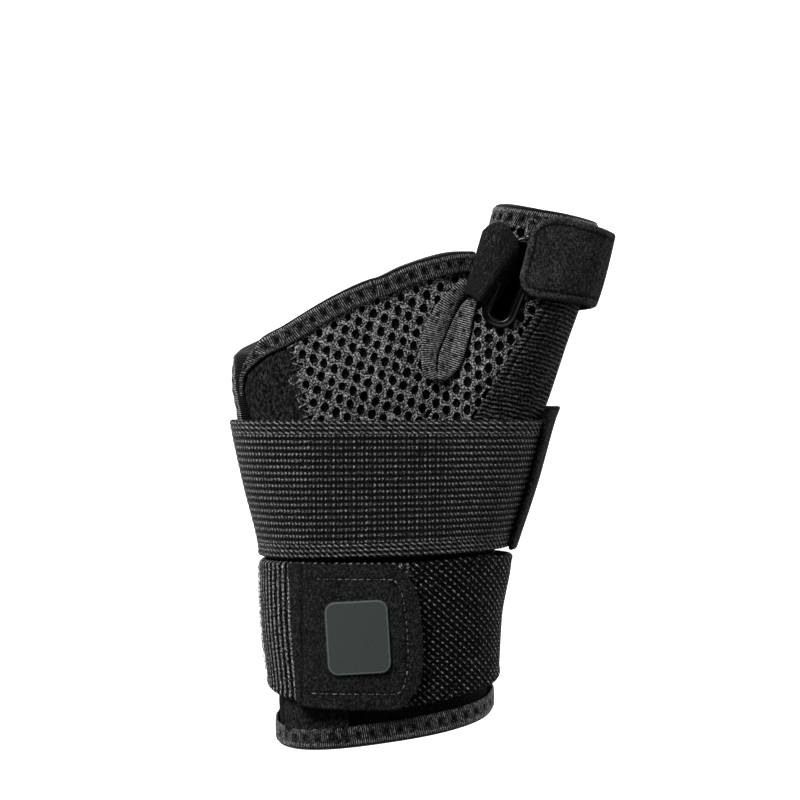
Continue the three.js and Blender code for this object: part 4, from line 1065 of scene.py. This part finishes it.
# Straps and tabs
def make_thumb_strap():
    """Grids of the strap that runs from the slot round the thumb to its tab in front, and its length."""
    turns = np.linspace(THUMB_STRAP[0, 0], THUMB_STRAP[-1, 0], 420)
    layers, rise, width_share = columns(THUMB_STRAP, turns, (1, 2, 3))
    standoff, middle = THUMB_STRAP_THICKNESS * layers, THUMB_ROOT_Z + THUMB_RISE * rise
    run = run_along(thumb(turns, middle, standoff + 1))
    left = run[-1] - run
    half = THUMB_STRAP_WIDTH * width_share - THUMB_TAB_ROUNDING * (1 - soft_edge(left, THUMB_TAB_ROUNDING))
    v = shares(0.035 * (1 - np.cos(np.linspace(0, np.pi / 2, 5))), 46)
    z = middle[:, None] + half[:, None] * (2 * v[None] - 1)
    to_side = np.minimum(v, 1 - v)[None] * 2 * half[:, None]
    border = np.minimum(to_side, np.minimum(run, left)[:, None] + 0 * v)
    share = soft_edge(border, 0.8)
    on_tab = step(-372, -380, turns)[:, None]
    line_dent = 0.38 * bell(border, 2.2, 0.3) * on_tab
    dashes = 1 - wave(run, 1.9)[:, None]
    swell = 0.12 * np.sin(run * 0.4)[:, None] * np.sin(v * 5)[None] + 0.05 * np.sin(run * 1.3)[:, None]
    uv = joined(run[:, None], v[None] * THUMB_STRAP_WIDTH)
    # Tone: painted shade in the stitched groove of the tab, deepest at the dashes; darker on the tab beyond
    # turn -360, and lighter along the tab's outer border
    tone = -line_dent * 3.0 * (0.6 + 0.4 * dashes) - 0.75 * step(-385, -360, turns)[:, None]
    tone = tone + 0.22 * (border < 1.9) * on_tab
    start_x = SLOT_FOOT[0] - 4.6 + (z - SLOT_FOOT[1]) * math.tan(math.radians(SLOT_TILT + 13))
    at_slot = front_turn(thumb_section(z, 4.5), start_x, THUMB_ROUNDNESS) - THUMB_STRAP[0, 0]
    lean = np.where(turns > -200, step(-165, -109, turns), 0)[:, None]
    fold = (0.9 * (2 * v[None] - 1)) * bell(turns, -385, 24)[:, None]
    turned = turns[:, None] + lean * at_slot
    relief = swell - line_dent * (0.7 + 0.3 * dashes)
    return slab(lambda out: thumb(turned, z, out + fold), standoff[:, None], THUMB_STRAP_THICKNESS, share, uv,
                relief, tone), run[-1]


strap_grids, strap_length = make_thumb_strap()
thumb_strap = build("thumb_strap_cloth", strap_grids, THUMB_FELT)
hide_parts("thumb_strap")
strap_length * 0.001


def make_hand_strap():
    """Grids of the wide elastic strap, and its length."""
    turns = np.linspace(90, 450, 301)
    side = strap(turns, 56, 0)
    low = HAND_STRAP_BOTTOM + 0.045 * side[:, 0] + 0.05 * side[:, 1]
    v = shares([0, 0.004, 0.012, 0.022, 0.032], 122)
    z = low[:, None] * (1 - v) + HAND_STRAP_TOP * v
    run = run_along(strap(turns, 74.6, HAND_STANDOFF))
    run -= np.interp(270, turns, run)
    high = v[None] * HAND_STRAP_WIDTH + 0 * z
    to_side = np.minimum(high, HAND_STRAP_WIDTH - high)
    at_edge = 1 - step(1.4, 2.6, to_side - 1.4)
    ripple = 0.25 * np.sin(run * 0.11 + 0.4)[:, None] * np.sin(np.pi * v)[None]
    fray = 0.12 * np.sin(run * 2.9)[:, None] * (to_side < 0.5)
    rows, cords = 0.16 * wave(high, ELASTIC_ROW), 0.22 * wave(high, ELASTIC_CORD)
    relief = rows * (1 - at_edge) + cords * at_edge + ripple
    return slab(lambda out: strap(turns[:, None], z + fray, out), HAND_STANDOFF, ELASTIC_THICKNESS,
                soft_edge(to_side, 0.7), joined(run[:, None], high), relief), run[-1] - run[0]


hand_grids, hand_length = make_hand_strap()
hand_strap = build("hand_strap_elastic", hand_grids, ELASTIC)
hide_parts("hand_strap")
hand_length * 0.001


def make_hand_tab():
    """Grids of the felt tab that closes the hand strap on the back, and its length."""
    turns = np.linspace(-20, 100, 150)
    run = run_along(strap(turns, 76, 7))
    far = run[-1] - run
    half = HAND_TAB_HALF * np.minimum(0.6 + 0.4 * soft_edge(far, 9), 0.72 + 0.28 * soft_edge(run, 3))
    v = shares([0, 0.006, 0.018, 0.03], 60)
    z = HAND_TAB_MIDDLE + half[:, None] * (2 * v[None] - 1)
    to_side = np.minimum(v, 1 - v)[None] * 2 * half[:, None]
    border = np.minimum(to_side, np.minimum(run, far)[:, None] + 0 * v)
    line_dent = 0.3 * bell(border, 2.4, 0.3) * step(20, 30, turns)[:, None]
    # -line_dent * 2 in the tone is painted shade in the stitched groove
    return slab(lambda out: strap(turns[:, None], z, out), HAND_TAB_IN, HAND_TAB_THICKNESS,
                soft_edge(border, 0.75), joined(run[:, None], z), -line_dent, -line_dent * 2), run[-1]


tab_grids, tab_length = make_hand_tab()
hand_tab = build("hand_tab_felt", tab_grids, GREY_FELT)
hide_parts("hand_strap_tab")
tab_length * 0.001


def make_wrist_strap():
    """Grids of the knit strap round the wrist, and its length."""
    turns = np.linspace(90, 450, 401)
    side = hand(turns, 17.8, TAPE_OUT)
    high = WRIST_STRAP_TOP + 1.6 * step(4, 24, side[:, 0])[:, None]
    low = WRIST_STRAP_BOTTOM + 0.22 * side[:, 1] + 2.4 * step(2, 27, side[:, 0])
    v = shares([0, 0.004, 0.012, 0.024, 0.036], 64)
    z = low[:, None] * (1 - v) + high * v
    run = run_along(hand(turns, 34, TAPE_IN))
    run -= np.interp(270, turns, run)
    tall = high - low[:, None]
    border = np.minimum(v, 1 - v)[None] * tall
    relief = 0.16 * wave(run, 1.85)[:, None] * step(8, 4, run)[:, None] + 0.25 * bell(border, 1.1, 0.8)
    uv = joined(run[:, None], v[None] * tall)
    # Painted sheen: lighter where the strap turns away, at the little-finger side and at the thumb side
    grazing_sheen = (0.55 * bell(turns, 180, 13) + 0.3 * bell(turns, 358, 14))[:, None] + 0 * v
    flare = 1.5 * bell(turns, 357, 20)[:, None] * step(36, 54, z)
    return slab(lambda out: hand(turns[:, None], z, out + flare), TAPE_IN, KNIT_THICKNESS,
                soft_edge(border, 0.9), uv, relief, grazing_sheen), run[-1] - run[0]


wrist_grids, wrist_length = make_wrist_strap()
wrist_strap = build("wrist_strap_knit", wrist_grids, KNIT)
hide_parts("wrist_strap")
wrist_length * 0.001

# Right outline of the wrist tab: height, x
TAB_RIGHT = np.array([
    (12.7, 2.4), (13.1, 4.0), (14.1, 5.6), (16.2, 7.6), (18.6, 9.2), (21.8, 10.1), (26.4, 10.5), (30.7, 10.5),
    (38, 9.9), (45.5, 8.6), (49.4, 6.3), (51.6, 4.5), (53.0, 2.4),
])


def make_wrist_tab():
    """Grids of the felt tab of the wrist strap, in front."""
    foot, top = WRIST_TAB_FOOT, WRIST_TAB_TOP
    z = np.unique(np.concatenate([foot + spaced(top - foot, 0.55, 1.4, 7), TAB_RIGHT[:, 0]]))
    right = smooth(TAB_RIGHT[:, 0], TAB_RIGHT[:, 1], z)
    left = np.interp(z, [foot, 14.1, top], [-24.6, -25.3, -27.6])
    s = spaced(1, 0.016, 0.04, 7)
    x = left[:, None] * (1 - s) + right[:, None] * s
    z = z[:, None] + 0 * x
    wide = (right - left)[:, None]
    bow = -0.8 * bell(x, -5, 14) * step(16, foot, z) + 0.5 * step(-12, -26, x) * step(20, 12, z)
    z = z + bow
    slope = np.abs(np.gradient(right, z[:, 0]))[:, None]
    to_right = (1 - s)[None] * wide / np.sqrt(1 + np.minimum(slope, 3) ** 2)
    border = np.minimum(np.minimum(s[None] * wide, to_right), np.minimum(z - foot, top - z))
    border = np.maximum(border - border.min(), 0)
    inset = np.minimum(np.minimum(to_right, z - foot + 0.2), top + 0.2 - z)
    line_dent = 0.32 * bell(inset, 4.3, 0.32) * (x > -23)
    seam = 0.35 * bell(x, WRIST_TAB_SEAM, 0.35)
    swell = 0.12 * np.sin(x * 0.3 + z * 0.21) + 0.07 * np.sin(x * 0.8 - z * 0.5)
    relief = swell - line_dent - seam
    # The tone -(line_dent + seam) * 1.6 is painted shade in the stitched groove and in the seam
    return slab(lambda out: hand_front(x, z, out), WRIST_TAB_IN, WRIST_TAB_THICKNESS,
                soft_edge(border, 1.0), joined(x, z), relief, -(line_dent + seam) * 1.6)


wrist_tab = build("wrist_tab_felt", make_wrist_tab(), WRIST_FELT)
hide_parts("wrist_strap_tab")


def tab_stitches():
    """Dashes of thread, inset from the border of the wrist tab."""
    z = np.linspace(17.0, 48.4, 60)
    right = smooth(TAB_RIGHT[:, 0], TAB_RIGHT[:, 1], z) - 4.3
    low = joined(np.linspace(-21, right[0] - 1.2, 20), 16.7)
    high = joined(np.linspace(right[-1] - 1.2, -21, 20), 48.8)
    path = np.concatenate([low, joined(right, z), high])
    run = run_along(path)
    lift = WRIST_TAB_IN + WRIST_TAB_THICKNESS - SKIN_OUT
    runs = []
    for start in np.arange(0.3, run[-1] - 1.6, 2.0):
        ends = [(np.interp(r, run, path[:, 0]), np.interp(r, run, path[:, 1])) for r in (start, start + 1.25)]
        runs.append(stitch(lambda x, z, out: hand_front(x, z, out + lift), *ends, lift=0.1))
    return runs


threads("wrist_tab_stitches", tab_stitches(), 0.16, PALE_THREAD)


def fibres(place, count, turns, heights, out, size):
    """Points of loose fibres that lie over a surface at seeded places and curl."""
    runs = []
    for _ in range(count):
        turn, z = rng.uniform(*turns), rng.uniform(*heights)
        heading, bend = rng.uniform(0, 2 * np.pi), rng.normal(0, 1.2)
        t = np.linspace(0, 1, 6)
        long = size * rng.uniform(0.4, 1.3)
        angle = heading + bend * t
        runs.append(place(turn + 1.6 * long * t * np.cos(angle), z + long * t * np.sin(angle),
                          out + 0.35 * size * np.sin(np.pi * t * 0.8) * rng.uniform(0.2, 1.0)))
    return runs


threads("strap_fibres", fibres(thumb, 34, (-150, -124), (132, 146), 7.0, 3.0), 0.06, FIBRE, 4)
side_fibres = fibres(hand, 600, (165, 205), (21, 52), 5.8, 1.0)
threads("wrist_strap_fibres", side_fibres, 0.05, FIBRE, 4)


def make_label():
    """Grids of the label patch: a rectangle with round corners, slightly turned."""
    half_wide, half_high, corner = 8.9, 10.3, 3.0
    p = spaced(2 * half_wide, 0.5, 1.2, 7) - half_wide
    q = spaced(2 * half_high, 0.5, 1.2, 7) - half_high
    x, z = np.meshgrid(p, q, indexing="ij")
    corner_x = np.maximum(np.abs(x) - (half_wide - corner), 0)
    corner_z = np.maximum(np.abs(z) - (half_high - corner), 0)
    reach = np.hypot(corner_x, corner_z)
    squash = np.where(reach > 0, np.maximum(corner_x, corner_z) / np.maximum(reach, 1e-9), 1)
    x = np.sign(x) * (np.minimum(np.abs(x), half_wide - corner) + corner_x * squash)
    z = np.sign(z) * (np.minimum(np.abs(z), half_high - corner) + corner_z * squash)
    border = corner - reach * squash
    tilt = math.radians(LABEL_TILT)
    px = LABEL_MIDDLE[0] + x * math.cos(tilt) - z * math.sin(tilt)
    pz = LABEL_MIDDLE[1] + x * math.sin(tilt) + z * math.cos(tilt)
    rim = bell(border, 0.35, 0.16)
    return slab(lambda out: hand_front(px, pz, out), LABEL_IN, LABEL_THICKNESS, soft_edge(border, 0.3),
                joined(x, z), -0.05 * rim, rim)


label = build("label_cloth_patch", make_label(), LABEL)
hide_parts("label_patch")


# Stage
def simple(name, colour, glow=0.0):
    cloth = Cloth(name)
    return cloth.set(Base_Color=(*colour, 1), Roughness=1.0, Specular_IOR_Level=0.0,
                     Emission_Color=(*colour, 1), Emission_Strength=glow)


def make_stage():
    """Pale floor that bends up into a back wall."""
    bend = np.linspace(0.1, np.pi / 2, 14)
    depth = np.concatenate([np.linspace(-1.2, 0.5, 5), 0.5 + 0.35 * np.sin(bend), [0.85, 0.85]])
    height = np.concatenate([np.full(5, -0.32), -0.32 + 0.35 * (1 - np.cos(bend)), [0.8, 1.6]])
    across = np.linspace(-1.8, 1.8, 9)
    points = joined(across[:, None], depth[None], height[None]) * 1000
    floor = build("pale_floor", [(points, np.zeros((*points.shape[:2], 2)), 0.0)],
                  simple("pale_backdrop", (0.95, 0.95, 0.95), 0.95), weld=False, ride=False)
    floor.visible_diffuse = False


def lamp(name, place, size, power):
    """Square light that looks at the middle of the part."""
    data = bpy.data.lights.new(name, "AREA")
    data.shape, data.size, data.size_y, data.energy = "RECTANGLE", size, size, power
    obj = placed(name, data)
    obj.location = place
    obj.rotation_mode = "QUATERNION"
    obj.rotation_quaternion = (Vector(CENTRE) - Vector(place)).to_track_quat("-Z", "Y")


CENTRE = (0.0, -0.01, 0.08)
make_stage()
lamp("key", (-0.42, -0.5, 0.75), 0.3, 8.5)
lamp("fill", (0.75, -0.45, 0.15), 0.5, 1.0)
lamp("top", (0.1, 0.05, 0.85), 0.5, 2.0)
lamp("left_rim", (-0.6, 0.35, 0.2), 0.4, 2.5)
lamp("right_rim", (0.6, 0.3, 0.25), 0.4, 2.5)
world = bpy.data.worlds.new("studio")
world.use_nodes = True
world.node_tree.nodes["Background"].inputs[0].default_value = (1, 1, 1, 1)
world.node_tree.nodes["Background"].inputs[1].default_value = 0.05
bpy.context.scene.world = world
bpy.context.scene.view_settings.view_transform = "Standard"

camera_data = bpy.data.cameras.new("camera")
camera_data.lens, camera_data.sensor_width = 120, 36
camera_data.clip_start, camera_data.clip_end = 0.05, 10
camera = placed("camera", camera_data)
camera.location = (0.00398, -0.7717, 0.0989)
camera.rotation_euler = (math.pi / 2, 0, 0)
bpy.context.scene.camera = camera
